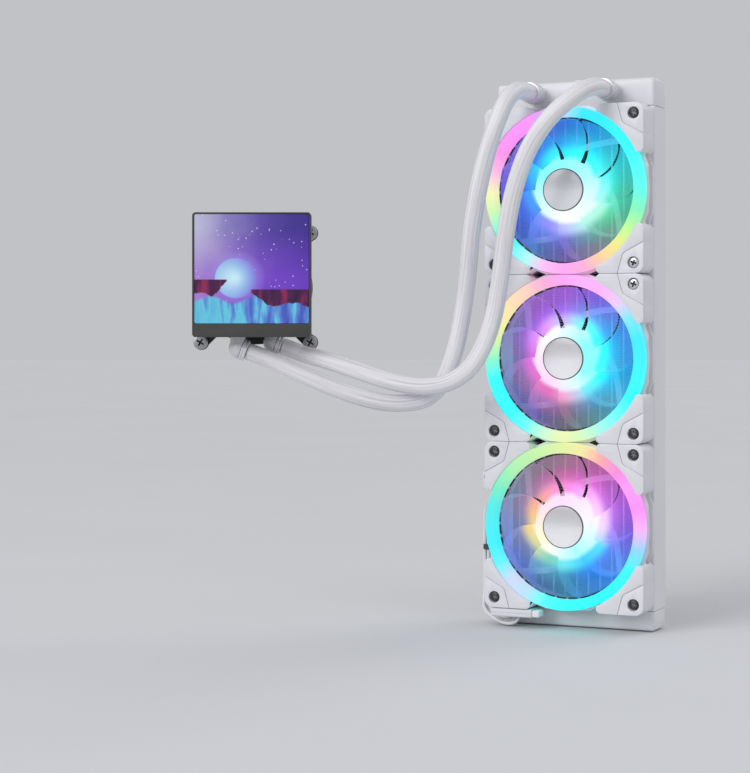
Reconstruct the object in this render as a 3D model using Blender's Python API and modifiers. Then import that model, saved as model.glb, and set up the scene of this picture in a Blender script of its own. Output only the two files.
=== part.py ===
# Liquid cooling radiator: a closed loop cooler with a three-fan radiator, two
# sleeved hoses and a pump head with a square display.
# Frame: origin on the rear face of the bottom tank, +Z up along the radiator,
# +X across it, -Y towards the fans.
import bpy
import bmesh
import math
from mathutils import Matrix, Vector

MM = 0.001
GAP = 0.3 * MM

# ---------------------------------------------------------------- dimensions
RAD_WIDTH = 120.0 * MM          # across X
RAD_DEPTH = 27.0 * MM           # along Y, rear face at y = 0
TANK_BOTTOM_H = 14.0 * MM
TANK_TOP_H = 20.0 * MM
FAN_PITCH = 120.0 * MM
FAN_SIZE = 119.7 * MM
FAN_DEPTH = 24.7 * MM
FAN_FRONT_Y = -52.0 * MM
FAN_REAR_Y = FAN_FRONT_Y + FAN_DEPTH
FAN_BASE_Z = 7.0 * MM
FAN_CORNER_R = 6.0 * MM
FAN_HOLE_PITCH = 105.0 * MM
FAN_HOLE_R = 2.25 * MM
COUNTERBORE_R = 4.3 * MM
COUNTERBORE_DEPTH = 3.4 * MM
DUCT_R = 52.25 * MM
RING_OUTER_R = 59.6 * MM
RING_DEPTH = 9.6 * MM
BARREL_R = 58.4 * MM
PLATE_REAR = 13.2 * MM          # the ring's back plate ends this far behind the front
FLANGE_T = 3.0 * MM
CORNER_LENGTH = 34.8 * MM       # of each corner block along the fan's side
HUB_R = 21.5 * MM
HUB_CAP_R = 15.25 * MM
BLADE_TIP_R = 51.0 * MM
BLADE_COUNT = 9
MOTOR_R = 17.5 * MM
TUBE_COUNT = 13
TUBE_PITCH = 8.9 * MM
TUBE_T = 1.8 * MM
TUBE_D = 18.0 * MM
CORE_FRONT_Y = -23.5 * MM
CORE_REAR_Y = -3.5 * MM
PLATE_T = 1.0 * MM
FLANGE_W = 12.0 * MM
HEADER_T = 1.2 * MM
TANK_WALL = 1.6 * MM
PORT_X = 28.0 * MM
PORT_Z = 378.0 * MM
PORT_R = 5.0 * MM
HOSE_R = 6.35 * MM
CABLE_R = 1.3 * MM

CORE_BASE_Z = TANK_BOTTOM_H / 2 + GAP
CORE_TOP_Z = FAN_BASE_Z + 3 * FAN_PITCH - GAP
TANK_TOP_Z = FAN_BASE_Z + 3 * FAN_PITCH + TANK_TOP_H
FAN_CENTRES = [("bottom", FAN_BASE_Z + 0.5 * FAN_PITCH),
               ("middle", FAN_BASE_Z + 1.5 * FAN_PITCH),
               ("top", FAN_BASE_Z + 2.5 * FAN_PITCH)]

# Pump head frame: local X to the display's right, local Y into the pump,
# local Z up, turned about Z.
HEAD_ORIGIN = Vector((-200.57 * MM, -145.10 * MM, 246.65 * MM))
HEAD_TURN = math.radians(24.9)
HEAD_FRAME = Matrix.Translation(HEAD_ORIGIN) @ Matrix.Rotation(HEAD_TURN, 4, 'Z')
LCD_W = 84.6 * MM
LCD_LOW = -44.6 * MM
LCD_HIGH = 44.3 * MM
LCD_DEPTH = 12.0 * MM
SCREEN_W = 81.8 * MM
SCREEN_LOW = -35.0 * MM
SCREEN_HIGH = 43.2 * MM
PUMP_Z = -8.5 * MM
PUMP_R = 32.0 * MM
PUMP_FRONT_Y = LCD_DEPTH + GAP
PUMP_REAR_Y = 54.0 * MM
PLATE_REAR_Y = 61.0 * MM
EYE_PITCH = 80.0 * MM
ELBOW_R = 7.6 * MM
ELBOW_TILT = math.radians(21)

# ---------------------------------------------------------------- scene
for old in list(bpy.data.objects):
    bpy.data.objects.remove(old, do_unlink=True)

PARTS = bpy.data.collections.new("liquid_cooling_radiator")
CUTTERS = bpy.data.collections.new("cutters")
bpy.context.scene.collection.children.link(PARTS)
bpy.context.scene.collection.children.link(CUTTERS)


def material(name, colour, roughness, metallic, emission=None):
    mat = bpy.data.materials.new(name)
    mat.use_nodes = True
    shader = mat.node_tree.nodes["Principled BSDF"]
    shader.inputs["Base Color"].default_value = (*colour, 1.0)
    shader.inputs["Roughness"].default_value = roughness
    shader.inputs["Metallic"].default_value = metallic
    if emission:
        shader.inputs["Emission Color"].default_value = (*emission, 1.0)
        shader.inputs["Emission Strength"].default_value = 0.6
    mat.diffuse_color = (*colour, 1.0)
    return mat


WHITE_METAL = material("white_metal", (0.78, 0.78, 0.80), 0.42, 0.0)
WHITE_PLASTIC = material("white_plastic", (0.74, 0.74, 0.77), 0.45, 0.0)
ALUMINIUM = material("tube_aluminium", (0.72, 0.74, 0.77), 0.40, 0.9)
FIN_ALUMINIUM = material("fin_aluminium", (0.42, 0.45, 0.52), 0.50, 0.8)
RING_LIGHT = material("ring_light", (0.55, 0.85, 0.95), 0.35, 0.0, (0.15, 0.80, 0.95))
BLADE_PLASTIC = material("blade_plastic", (0.32, 0.45, 0.90), 0.30, 0.0, (0.10, 0.22, 0.80))
CAP_SILVER = material("cap_silver", (0.72, 0.72, 0.74), 0.30, 0.6)
MOTOR_METAL = material("motor_metal", (0.30, 0.22, 0.12), 0.45, 0.8)
SCREW_BLACK = material("screw_black", (0.03, 0.03, 0.035), 0.35, 0.8)
SCREW_STEEL = material("screw_steel", (0.62, 0.63, 0.65), 0.30, 1.0)
HOSE_WHITE = material("hose_white", (0.74, 0.72, 0.72), 0.65, 0.0)
COLLAR_WHITE = material("collar_white", (0.70, 0.70, 0.71), 0.35, 0.2)
ELBOW_WHITE = material("elbow_white", (0.66, 0.66, 0.67), 0.40, 0.0)
DARK_PLASTIC = material("dark_plastic", (0.06, 0.06, 0.058), 0.40, 0.0)
SCREEN_GLASS = material("screen_glass", (0.12, 0.10, 0.32), 0.08, 0.0, (0.20, 0.16, 0.62))
COPPER = material("copper", (0.78, 0.42, 0.28), 0.25, 1.0)
BRACKET_STEEL = material("bracket_steel", (0.10, 0.10, 0.11), 0.40, 0.8)
IMPELLER_PLASTIC = material("impeller_plastic", (0.08, 0.08, 0.10), 0.45, 0.0)
CABLE_WHITE = material("cable_white", (0.76, 0.76, 0.77), 0.50, 0.0)
PLUG_WHITE = material("plug_white", (0.70, 0.70, 0.71), 0.45, 0.0)


def add_object(name, mesh, mat=None, collection=None):
    obj = bpy.data.objects.new(name, mesh)
    (collection or PARTS).objects.link(obj)
    if mat is not None:
        mesh.materials.clear()
        mesh.materials.append(mat)
    return obj


def settle(obj, weld=0.0):
    """Replace an object's data by its evaluated mesh, with its modifiers used up."""
    bpy.context.view_layer.update()
    graph = bpy.context.evaluated_depsgraph_get()
    mesh = bpy.data.meshes.new_from_object(obj.evaluated_get(graph))
    mesh.name = obj.name
    bm = bmesh.new()
    bm.from_mesh(mesh)
    if weld > 0.0:
        bmesh.ops.remove_doubles(bm, verts=bm.verts, dist=weld)
    bmesh.ops.recalc_face_normals(bm, faces=bm.faces)
    bm.to_mesh(mesh)
    bm.free()
    if obj.type == 'MESH':
        obj.modifiers.clear()
        obj.data = mesh
        return obj
    name, matrix, collection = obj.name, obj.matrix_world.copy(), obj.users_collection[0]
    bpy.data.objects.remove(obj, do_unlink=True)
    new = bpy.data.objects.new(name, mesh)
    collection.objects.link(new)
    new.matrix_world = matrix
    mesh.name = name
    return new


def box_bm(bm, lo, hi):
    made = bmesh.ops.create_cube(bm, size=1.0)
    size = [hi[i] - lo[i] for i in range(3)]
    mid = [(hi[i] + lo[i]) / 2 for i in range(3)]
    bmesh.ops.scale(bm, vec=size, verts=made["verts"])
    bmesh.ops.translate(bm, vec=mid, verts=made["verts"])
    return made["verts"]


def rounded_box(name, lo, hi, mat, radius=0.0, segments=2, pick=None, collection=None):
    """A box whose picked edges are rounded. pick(a, b) takes the edge's two ends."""
    bm = bmesh.new()
    box_bm(bm, lo, hi)
    if radius > 0.0:
        edges = [e for e in bm.edges if pick is None or pick(e.verts[0].co, e.verts[1].co)]
        bmesh.ops.bevel(bm, geom=edges, offset=radius, segments=segments, profile=0.5,
                        affect='EDGES', clamp_overlap=True)
    mesh = bpy.data.meshes.new(name)
    bm.to_mesh(mesh)
    bm.free()
    return add_object(name, mesh, mat, collection)


def along(axis):
    """Edges that run along one axis."""
    def pick(a, b):
        d = b - a
        return abs(d[axis]) > 0.9 * d.length
    return pick


def cylinders(name, places, radius, mat=None, steps=16, collection=None):
    """Straight round bars from one point to another, all in one mesh."""
    bm = bmesh.new()
    for start, end in places:
        start, end = Vector(start), Vector(end)
        run = end - start
        turn = run.to_track_quat('Z', 'Y').to_matrix().to_4x4()
        bmesh.ops.create_cone(bm, cap_ends=True, cap_tris=False, segments=steps,
                              radius1=radius, radius2=radius, depth=run.length,
                              matrix=Matrix.Translation((start + end) / 2) @ turn)
    mesh = bpy.data.meshes.new(name)
    bm.to_mesh(mesh)
    bm.free()
    return add_object(name, mesh, mat, collection)


def turned(name, profile, mat, steps=32, closed=False, matrix=Matrix.Identity(4),
           collection=None):
    """A turned solid. profile holds (radius, height) pairs, from the top down its
    outer side; a closed profile is a ring's section. matrix takes the turning
    axis Z to its place."""
    mesh = bpy.data.meshes.new(name)
    verts = [(r, 0.0, h) for r, h in profile]
    edges = [(i, i + 1) for i in range(len(verts) - 1)]
    if closed:
        edges.append((len(verts) - 1, 0))
    mesh.from_pydata(verts, edges, [])
    obj = add_object(name, mesh, mat, collection)
    screw = obj.modifiers.new("turn", 'SCREW')
    screw.axis = 'Z'
    screw.angle = 2 * math.pi
    screw.steps = steps
    screw.render_steps = steps
    screw.use_merge_vertices = True
    screw.merge_threshold = 0.00001
    screw.use_smooth_shade = True
    settle(obj, 0.00001)
    obj.data.transform(matrix)
    return obj


def outline_plate(name, points, z_lo, z_hi, mat, collection=None):
    """A flat plate from a closed outline in its local XY plane."""
    curve = bpy.data.curves.new(name, 'CURVE')
    curve.dimensions = '2D'
    curve.fill_mode = 'BOTH'
    curve.extrude = (z_hi - z_lo) / 2
    spline = curve.splines.new('POLY')
    spline.points.add(len(points) - 1)
    for point, (x, y) in zip(spline.points, points):
        point.co = (x, y, 0.0, 1.0)
    spline.use_cyclic_u = True
    obj = bpy.data.objects.new(name, curve)
    (collection or PARTS).objects.link(obj)
    obj = settle(obj, 0.000001)
    obj.data.transform(Matrix.Translation((0, 0, (z_lo + z_hi) / 2)))
    obj.data.materials.clear()
    if mat:
        obj.data.materials.append(mat)
    return obj


def smooth_route(points, count):
    """Evenly spaced points on a smooth curve through the route's own points."""
    pts = [Vector(p) for p in points]
    ext = [pts[0] * 2 - pts[1]] + pts + [pts[-1] * 2 - pts[-2]]
    dense = []
    for i in range(1, len(ext) - 2):
        p0, p1, p2, p3 = ext[i - 1:i + 3]
        t0 = 0.0
        t1 = t0 + (p1 - p0).length ** 0.5
        t2 = t1 + (p2 - p1).length ** 0.5
        t3 = t2 + (p3 - p2).length ** 0.5
        for k in range(24):
            t = t1 + (t2 - t1) * k / 24.0
            a1 = p0 * ((t1 - t) / (t1 - t0)) + p1 * ((t - t0) / (t1 - t0))
            a2 = p1 * ((t2 - t) / (t2 - t1)) + p2 * ((t - t1) / (t2 - t1))
            a3 = p2 * ((t3 - t) / (t3 - t2)) + p3 * ((t - t2) / (t3 - t2))
            b1 = a1 * ((t2 - t) / (t2 - t0)) + a2 * ((t - t0) / (t2 - t0))
            b2 = a2 * ((t3 - t) / (t3 - t1)) + a3 * ((t - t1) / (t3 - t1))
            dense.append(b1 * ((t2 - t) / (t2 - t1)) + b2 * ((t - t1) / (t2 - t1)))
    dense.append(pts[-1])
    for _ in range(30):
        dense = [dense[0]] + [dense[i] * 0.5 + (dense[i - 1] + dense[i + 1]) * 0.25
                              for i in range(1, len(dense) - 1)] + [dense[-1]]
    run = [0.0]
    for a, b in zip(dense, dense[1:]):
        run.append(run[-1] + (b - a).length)
    out, j = [], 0
    for k in range(count):
        want = run[-1] * k / (count - 1)
        while j < len(run) - 2 and run[j + 1] < want:
            j += 1
        t = (want - run[j]) / max(run[j + 1] - run[j], 1e-12)
        out.append(dense[j].lerp(dense[j + 1], min(max(t, 0.0), 1.0)))
    return out


def tube(name, points, radius, mat, resolution=2):
    curve = bpy.data.curves.new(name, 'CURVE')
    curve.dimensions = '3D'
    curve.bevel_depth = radius
    curve.bevel_resolution = resolution
    curve.use_fill_caps = True
    spline = curve.splines.new('POLY')
    spline.points.add(len(points) - 1)
    for point, co in zip(spline.points, points):
        point.co = (*co, 1.0)
    obj = bpy.data.objects.new(name, curve)
    PARTS.objects.link(obj)
    obj = settle(obj, 0.000001)
    obj.data.materials.clear()
    obj.data.materials.append(mat)
    return obj


def boolean(target, cutter, operation='DIFFERENCE'):
    """Cut or join with the cutter, which stays hidden in its own collection."""
    if CUTTERS not in list(cutter.users_collection):
        for owner in list(cutter.users_collection):
            owner.objects.unlink(cutter)
        CUTTERS.objects.link(cutter)
    cutter.hide_render = True
    cutter.display_type = 'WIRE'
    step = target.modifiers.new(operation.lower(), 'BOOLEAN')
    step.operation = operation
    step.solver = 'EXACT'
    step.object = cutter
    settle(target, 0.000001)
    keep = target.data.materials[0] if target.data.materials else None
    if keep:
        target.data.materials.clear()
        target.data.materials.append(keep)
        for face in target.data.polygons:
            face.material_index = 0
    return target


def set_origin(obj, point):
    """Move an object's origin to a point without moving its mesh."""
    obj.data.transform(Matrix.Translation(-Vector(point)))
    obj.location = point


def smooth_round(obj, angle=40.0):
    for face in obj.data.polygons:
        face.use_smooth = True
    obj.data.set_sharp_from_angle(angle=math.radians(angle))


AXIS_Y = Matrix.Rotation(math.radians(90), 4, 'X')      # local Z -> world -Y

# ---------------------------------------------------------------- radiator core
HALF_W = RAD_WIDTH / 2
WEB_IN = HALF_W - PLATE_T
tube_xs = [(i - (TUBE_COUNT - 1) / 2) * TUBE_PITCH for i in range(TUBE_COUNT)]
core_mid_y = (CORE_FRONT_Y + CORE_REAR_Y) / 2

bm = bmesh.new()
for x in tube_xs:
    box_bm(bm, (x - TUBE_T / 2, core_mid_y - TUBE_D / 2, CORE_BASE_Z + 0.5 * MM),
           (x + TUBE_T / 2, core_mid_y + TUBE_D / 2, CORE_TOP_Z - 0.5 * MM))
mesh = bpy.data.meshes.new("flat_tubes")
bm.to_mesh(mesh)
bm.free()
tubes = add_object("radiator_tubes", mesh, ALUMINIUM)
headers = rounded_box("header_plates", (-WEB_IN + 0.5 * MM, -25.0 * MM, CORE_BASE_Z),
                      (WEB_IN - 0.5 * MM, -2.0 * MM, CORE_BASE_Z + HEADER_T), None,
                      collection=CUTTERS)
bm = bmesh.new()
bm.from_mesh(headers.data)
box_bm(bm, (-WEB_IN + 0.5 * MM, -25.0 * MM, CORE_TOP_Z - HEADER_T),
       (WEB_IN - 0.5 * MM, -2.0 * MM, CORE_TOP_Z))
bm.to_mesh(headers.data)
bm.free()
boolean(tubes, headers, 'UNION')
bm = bmesh.new()
for x in tube_xs:
    box_bm(bm, (x - TUBE_T / 2 + 0.45 * MM, core_mid_y - TUBE_D / 2 + 0.5 * MM, CORE_BASE_Z - 2 * MM),
           (x + TUBE_T / 2 - 0.45 * MM, core_mid_y + TUBE_D / 2 - 0.5 * MM, CORE_TOP_Z + 2 * MM))
mesh = bpy.data.meshes.new("tube_channels")
bm.to_mesh(mesh)
bm.free()
boolean(tubes, add_object("tube_channels", mesh, None, CUTTERS))

fins = rounded_box("radiator_fins", (-WEB_IN + 0.6 * MM, CORE_FRONT_Y, CORE_BASE_Z + HEADER_T + GAP),
                   (WEB_IN - 0.6 * MM, CORE_REAR_Y, CORE_TOP_Z - HEADER_T - GAP), FIN_ALUMINIUM)
bm = bmesh.new()
for x in tube_xs:
    box_bm(bm, (x - TUBE_T / 2 - GAP, core_mid_y - TUBE_D / 2 - GAP, CORE_BASE_Z - 5 * MM),
           (x + TUBE_T / 2 + GAP, core_mid_y + TUBE_D / 2 + GAP, CORE_TOP_Z + 5 * MM))
mesh = bpy.data.meshes.new("fin_slots")
bm.to_mesh(mesh)
bm.free()
boolean(fins, add_object("fin_slots", mesh, None, CUTTERS))

# End tanks, open towards their header plates
tank_bottom = rounded_box("tank_bottom", (-HALF_W, -RAD_DEPTH, -TANK_BOTTOM_H / 2),
                          (HALF_W, 0.0, TANK_BOTTOM_H / 2), WHITE_METAL, 2.0 * MM, 2,
                          pick=lambda a, b: not (a.z > 0 and b.z > 0))
boolean(tank_bottom, rounded_box("tank_bottom_hollow",
                                 (-HALF_W + TANK_WALL, -RAD_DEPTH + TANK_WALL, -TANK_BOTTOM_H / 2 + TANK_WALL),
                                 (HALF_W - TANK_WALL, -TANK_WALL, TANK_BOTTOM_H), None, collection=CUTTERS))
top_lo = FAN_BASE_Z + 3 * FAN_PITCH
tank_top = rounded_box("tank_top", (-HALF_W, -RAD_DEPTH, top_lo), (HALF_W, 0.0, TANK_TOP_Z),
                       WHITE_METAL, 2.5 * MM, 2,
                       pick=lambda a, b: not (a.z < top_lo + 1e-6 and b.z < top_lo + 1e-6))
boolean(tank_top, rounded_box("tank_top_hollow",
                              (-HALF_W + TANK_WALL, -RAD_DEPTH + TANK_WALL, top_lo - 5 * MM),
                              (HALF_W - TANK_WALL, -TANK_WALL, TANK_TOP_Z - TANK_WALL), None,
                              collection=CUTTERS))
ports = [(-PORT_X, PORT_Z), (PORT_X, PORT_Z)]
boolean(tank_top, cylinders("port_stubs", [((x, -RAD_DEPTH + 0.8 * MM, z), (x, -RAD_DEPTH - 6.0 * MM, z))
                                           for x, z in ports], PORT_R, None, 20, CUTTERS), 'UNION')
boolean(tank_top, cylinders("port_bores", [((x, -RAD_DEPTH + 5.0 * MM, z), (x, -RAD_DEPTH - 9.0 * MM, z))
                                           for x, z in ports], 3.2 * MM, None, 16, CUTTERS))
boolean(tank_top, cylinders("fill_hole", [((0, -13.5 * MM, TANK_TOP_Z + 5 * MM),
                                           (0, -13.5 * MM, TANK_TOP_Z - 5 * MM))],
                            3.3 * MM, None, 16, CUTTERS))
smooth_round(tank_top)
smooth_round(tank_bottom)
fill_plug = turned("fill_plug", [(0.0, 1.8 * MM), (4.2 * MM, 1.8 * MM), (4.8 * MM, 1.2 * MM), (4.8 * MM, GAP),
                                 (2.9 * MM, GAP), (2.9 * MM, -4.0 * MM), (0.0, -4.0 * MM)], WHITE_METAL, 20,
                   matrix=Matrix.Translation((0, -13.5 * MM, TANK_TOP_Z)))

# Side plates: folded channels with screw holes in both flanges
fan_hole_zs = [z + s * FAN_HOLE_PITCH / 2 for _, z in FAN_CENTRES for s in (-1, 1)]
for side, label in ((-1, "left"), (1, "right")):
    xs = sorted((side * HALF_W, side * (HALF_W - FLANGE_W)))
    plate = rounded_box("side_plate_" + label, (xs[0], -RAD_DEPTH, CORE_BASE_Z), (xs[1], 0.0, CORE_TOP_Z),
                        WHITE_METAL, 0.8 * MM, 1, pick=along(2))
    inner = sorted((side * WEB_IN, side * (HALF_W - FLANGE_W - 5 * MM)))
    boolean(plate, rounded_box("channel_" + label, (inner[0], -RAD_DEPTH + PLATE_T, CORE_BASE_Z - 5 * MM),
                               (inner[1], -PLATE_T, CORE_TOP_Z + 5 * MM), None, collection=CUTTERS))
    x = side * FAN_HOLE_PITCH / 2
    boolean(plate, cylinders("plate_holes_" + label, [((x, -RAD_DEPTH - 3 * MM, z), (x, 3 * MM, z))
                                                      for z in fan_hole_zs], 2.15 * MM, None, 8, CUTTERS))

# ---------------------------------------------------------------- fans
half = FAN_SIZE / 2


def fan_frame_mesh():
    frame = rounded_box("fan_frame_shape", (-half, FAN_FRONT_Y, -half), (half, FAN_REAR_Y, half),
                        WHITE_PLASTIC, FAN_CORNER_R, 3, pick=along(1))
    # Between its corner blocks the frame is a square plate behind the ring, then a
    # round barrel, then a square rear flange
    open_half = half - CORNER_LENGTH
    bm = bmesh.new()
    for near_y, far_y in ((FAN_FRONT_Y - 5 * MM, FAN_FRONT_Y + RING_DEPTH - 0.7 * MM),
                          (FAN_FRONT_Y + PLATE_REAR, FAN_REAR_Y - FLANGE_T)):
        for axis in (0, 2):
            for side in (-1, 1):
                near, far = sorted((side * 46.0 * MM, side * 70.0 * MM))
                lo, hi = [-open_half, near_y, -open_half], [open_half, far_y, open_half]
                lo[axis], hi[axis] = near, far
                box_bm(bm, lo, hi)
    mesh = bpy.data.meshes.new("side_bites")
    bm.to_mesh(mesh)
    bm.free()
    boolean(frame, add_object("side_bites", mesh, None, CUTTERS))
    # Small notches where the plate meets the corner blocks
    notch = [(16.4 * MM, half + 2 * MM), (16.4 * MM, half), (22.5 * MM, half - 2.4 * MM),
             (24.2 * MM, half - 2.4 * MM), (27.4 * MM, half), (27.4 * MM, half + 2 * MM)]
    for k in range(4):
        for flip in (1, -1):
            spots = [(flip * x, z) for x, z in notch]
            cutter = outline_plate("notch_%d_%d" % (k, flip), spots, -60 * MM, 60 * MM, None, CUTTERS)
            cutter.data.transform(Matrix.Rotation(math.radians(90 * k), 4, 'Y') @ AXIS_Y)
            boolean(frame, cutter)
    boolean(frame, cylinders("barrel", [((0, FAN_FRONT_Y + RING_DEPTH - 1 * MM, 0), (0, FAN_REAR_Y, 0))],
                             BARREL_R, None, 36, CUTTERS), 'UNION')
    boolean(frame, cylinders("duct", [((0, FAN_FRONT_Y - 5 * MM, 0), (0, FAN_REAR_Y + 5 * MM, 0))],
                             DUCT_R, None, 36, CUTTERS))
    boolean(frame, cylinders("ring_seat", [((0, FAN_FRONT_Y - 5 * MM, 0), (0, FAN_FRONT_Y + RING_DEPTH + GAP, 0))],
                             RING_OUTER_R + 0.5 * MM, None, 36, CUTTERS))
    corners = [(sx * FAN_HOLE_PITCH / 2, sz * FAN_HOLE_PITCH / 2) for sx in (-1, 1) for sz in (-1, 1)]
    boolean(frame, cylinders("screw_holes", [((x, FAN_FRONT_Y - 5 * MM, z), (x, FAN_REAR_Y + 5 * MM, z))
                                             for x, z in corners], FAN_HOLE_R, None, 8, CUTTERS))
    boolean(frame, cylinders("counterbores", [((x, FAN_FRONT_Y - 5 * MM, z),
                                               (x, FAN_FRONT_Y + COUNTERBORE_DEPTH, z)) for x, z in corners],
                             COUNTERBORE_R, None, 10, CUTTERS))
    # Four curved arms carry the motor's base on the radiator side
    base = cylinders("motor_base", [((0, FAN_REAR_Y - 2.6 * MM, 0), (0, FAN_REAR_Y - 0.1 * MM, 0))],
                     HUB_R, None, 24, CUTTERS)
    for k in range(4):
        line = []
        for i in range(7):
            r = (HUB_R - 3 * MM) + (DUCT_R + 5.5 * MM - HUB_R) * i / 6.0
            a = math.radians(90 * k - 54 - 100 * (1 - math.exp(-(r - HUB_R + 3 * MM) / (19 * MM))))
            line.append(Vector((r * math.cos(a), r * math.sin(a))))
        left, right = [], []
        for i, p in enumerate(line):
            d = (line[min(i + 1, 6)] - line[max(i - 1, 0)]).normalized()
            n = Vector((-d.y, d.x)) * 2.2 * MM
            left.append(tuple(p + n))
            right.append(tuple(p - n))
        outline = left + right[::-1]
        arm = outline_plate("arm_%d" % k, outline, 0.0, 2.1 * MM, None, CUTTERS)
        arm.data.transform(Matrix.Translation((0, FAN_REAR_Y - 0.2 * MM, 0)) @ AXIS_Y)
        boolean(base, arm, 'UNION')
    boolean(frame, base, 'UNION')
    smooth_round(frame)
    mesh = frame.data
    bpy.data.objects.remove(frame, do_unlink=True)
    return mesh


def blade_surface(bm, start):
    """One swept, twisted blade as an open surface, r outwards and chord along y."""
    stations, chords = 4, 3
    grid = []
    for i in range(stations):
        t = i / (stations - 1.0)
        r = (HUB_R - 1.0 * MM) + t * (BLADE_TIP_R - HUB_R + 1.0 * MM)
        span = math.radians(42.5 + 1.5 * t)
        sweep = math.radians(20 * t * t)
        front = FAN_FRONT_Y + (4.0 + 1.0 * t) * MM
        rear = FAN_REAR_Y - (6.0 + 2.5 * t) * MM
        row = []
        for j in range(chords):
            s = j / (chords - 1.0)
            a = start + sweep + span * (s - 0.5)
            y = front + (rear - front) * (s ** 1.25)
            row.append(bm.verts.new((r * math.cos(a), y, r * math.sin(a))))
        grid.append(row)
    for i in range(stations - 1):
        for j in range(chords - 1):
            bm.faces.new((grid[i][j], grid[i][j + 1], grid[i + 1][j + 1], grid[i + 1][j]))


def rotor_mesh():
    front = FAN_FRONT_Y + 1.0 * MM
    back = FAN_REAR_Y - 4.2 * MM
    hub = turned("rotor_shape", [(0.0, -(front + 1.3 * MM)), (HUB_CAP_R + 0.35 * MM, -(front + 1.3 * MM)),
                                 (HUB_CAP_R + 0.35 * MM, -front), (HUB_R - 1.0 * MM, -front),
                                 (HUB_R, -(front + 1.0 * MM)), (HUB_R, -back), (HUB_R - 1.8 * MM, -back),
                                 (HUB_R - 1.8 * MM, -(front + 3.2 * MM)), (1.5 * MM, -(front + 3.2 * MM)),
                                 (1.5 * MM, -(FAN_REAR_Y - 4.6 * MM)), (0.0, -(FAN_REAR_Y - 4.6 * MM))],
                 BLADE_PLASTIC, 24, matrix=AXIS_Y)
    blades = bmesh.new()
    for k in range(BLADE_COUNT):
        blade_surface(blades, 2 * math.pi * k / BLADE_COUNT)
    mesh = bpy.data.meshes.new("blades")
    blades.to_mesh(mesh)
    blades.free()
    vanes = add_object("blades", mesh, None, CUTTERS)
    shell = vanes.modifiers.new("thickness", 'SOLIDIFY')
    shell.thickness = 1.6 * MM
    shell.offset = 0.0
    settle(vanes, 0.000001)
    boolean(hub, vanes, 'UNION')
    smooth_round(hub)
    mesh = hub.data
    bpy.data.objects.remove(hub, do_unlink=True)
    return mesh


frame_mesh = fan_frame_mesh()
rotor_data = rotor_mesh()
ring_profile = [(RING_OUTER_R - 0.8 * MM, -FAN_FRONT_Y), (RING_OUTER_R, -FAN_FRONT_Y - 0.8 * MM),
                (RING_OUTER_R, -FAN_FRONT_Y - RING_DEPTH), (DUCT_R + 0.1 * MM, -FAN_FRONT_Y - RING_DEPTH),
                (DUCT_R + 0.1 * MM, -FAN_FRONT_Y)]
ring_data = turned("ring_shape", ring_profile, RING_LIGHT, 36, closed=True, matrix=AXIS_Y).data
cap_front = FAN_FRONT_Y + 0.6 * MM
cap_data = turned("cap_shape", [(0.0, -cap_front), (HUB_CAP_R - 0.5 * MM, -cap_front),
                                (HUB_CAP_R, -(cap_front + 0.4 * MM)), (HUB_CAP_R, -(FAN_FRONT_Y + 2.0 * MM)),
                                (0.0, -(FAN_FRONT_Y + 2.0 * MM))], CAP_SILVER, 24, matrix=AXIS_Y).data
motor_front = FAN_FRONT_Y + 6.0 * MM
motor_back = FAN_REAR_Y - 2.9 * MM
motor_data = turned("motor_shape", [(2.0 * MM, -motor_front), (MOTOR_R, -motor_front), (MOTOR_R, -motor_back),
                                    (2.0 * MM, -motor_back)], MOTOR_METAL, 18, closed=True, matrix=AXIS_Y).data
head_front = FAN_FRONT_Y + 0.7 * MM
screw_data = turned("screw_shape", [(0.0, -head_front), (3.1 * MM, -head_front), (3.6 * MM, -(head_front + 0.6 * MM)),
                                    (3.6 * MM, -(FAN_FRONT_Y + COUNTERBORE_DEPTH - GAP)),
                                    (1.75 * MM, -(FAN_FRONT_Y + COUNTERBORE_DEPTH - GAP)),
                                    (1.75 * MM, 25.2 * MM), (1.2 * MM, 24.6 * MM), (0.0, 24.6 * MM)],
                    SCREW_BLACK, 10, matrix=AXIS_Y).data
for name in ("ring_shape", "cap_shape", "motor_shape", "screw_shape"):
    bpy.data.objects.remove(bpy.data.objects[name], do_unlink=True)
steel_screw_data = screw_data.copy()
steel_screw_data.materials.clear()
steel_screw_data.materials.append(SCREW_STEEL)

for label, cz in FAN_CENTRES:
    frame = add_object("fan_frame_" + label, frame_mesh)
    frame.location = (0, 0, cz)
    ring = add_object("light_ring_" + label, ring_data)
    ring.location = (0, 0, cz)
    motor = add_object("fan_motor_" + label, motor_data)
    motor.location = (0, 0, cz)
    rotor = add_object("fan_rotor_" + label, rotor_data)
    rotor.location = (0, 0, cz)
    cap = add_object("hub_cap_" + label, cap_data)
    cap.location = (0, 0, cz)
    for sx, side in ((-1, "left"), (1, "right")):
        for sz, level in ((-1, "lower"), (1, "upper")):
            steel = (label, level, side) in (("top", "lower", "right"), ("middle", "upper", "right"))
            screw = add_object("fan_screw_%s_%s_%s" % (label, level, side),
                               steel_screw_data if steel else screw_data)
            screw.location = (sx * FAN_HOLE_PITCH / 2, 0, cz + sz * FAN_HOLE_PITCH / 2)

# ---------------------------------------------------------------- pump head
def in_head(obj):
    obj.matrix_world = HEAD_FRAME
    return obj


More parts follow.
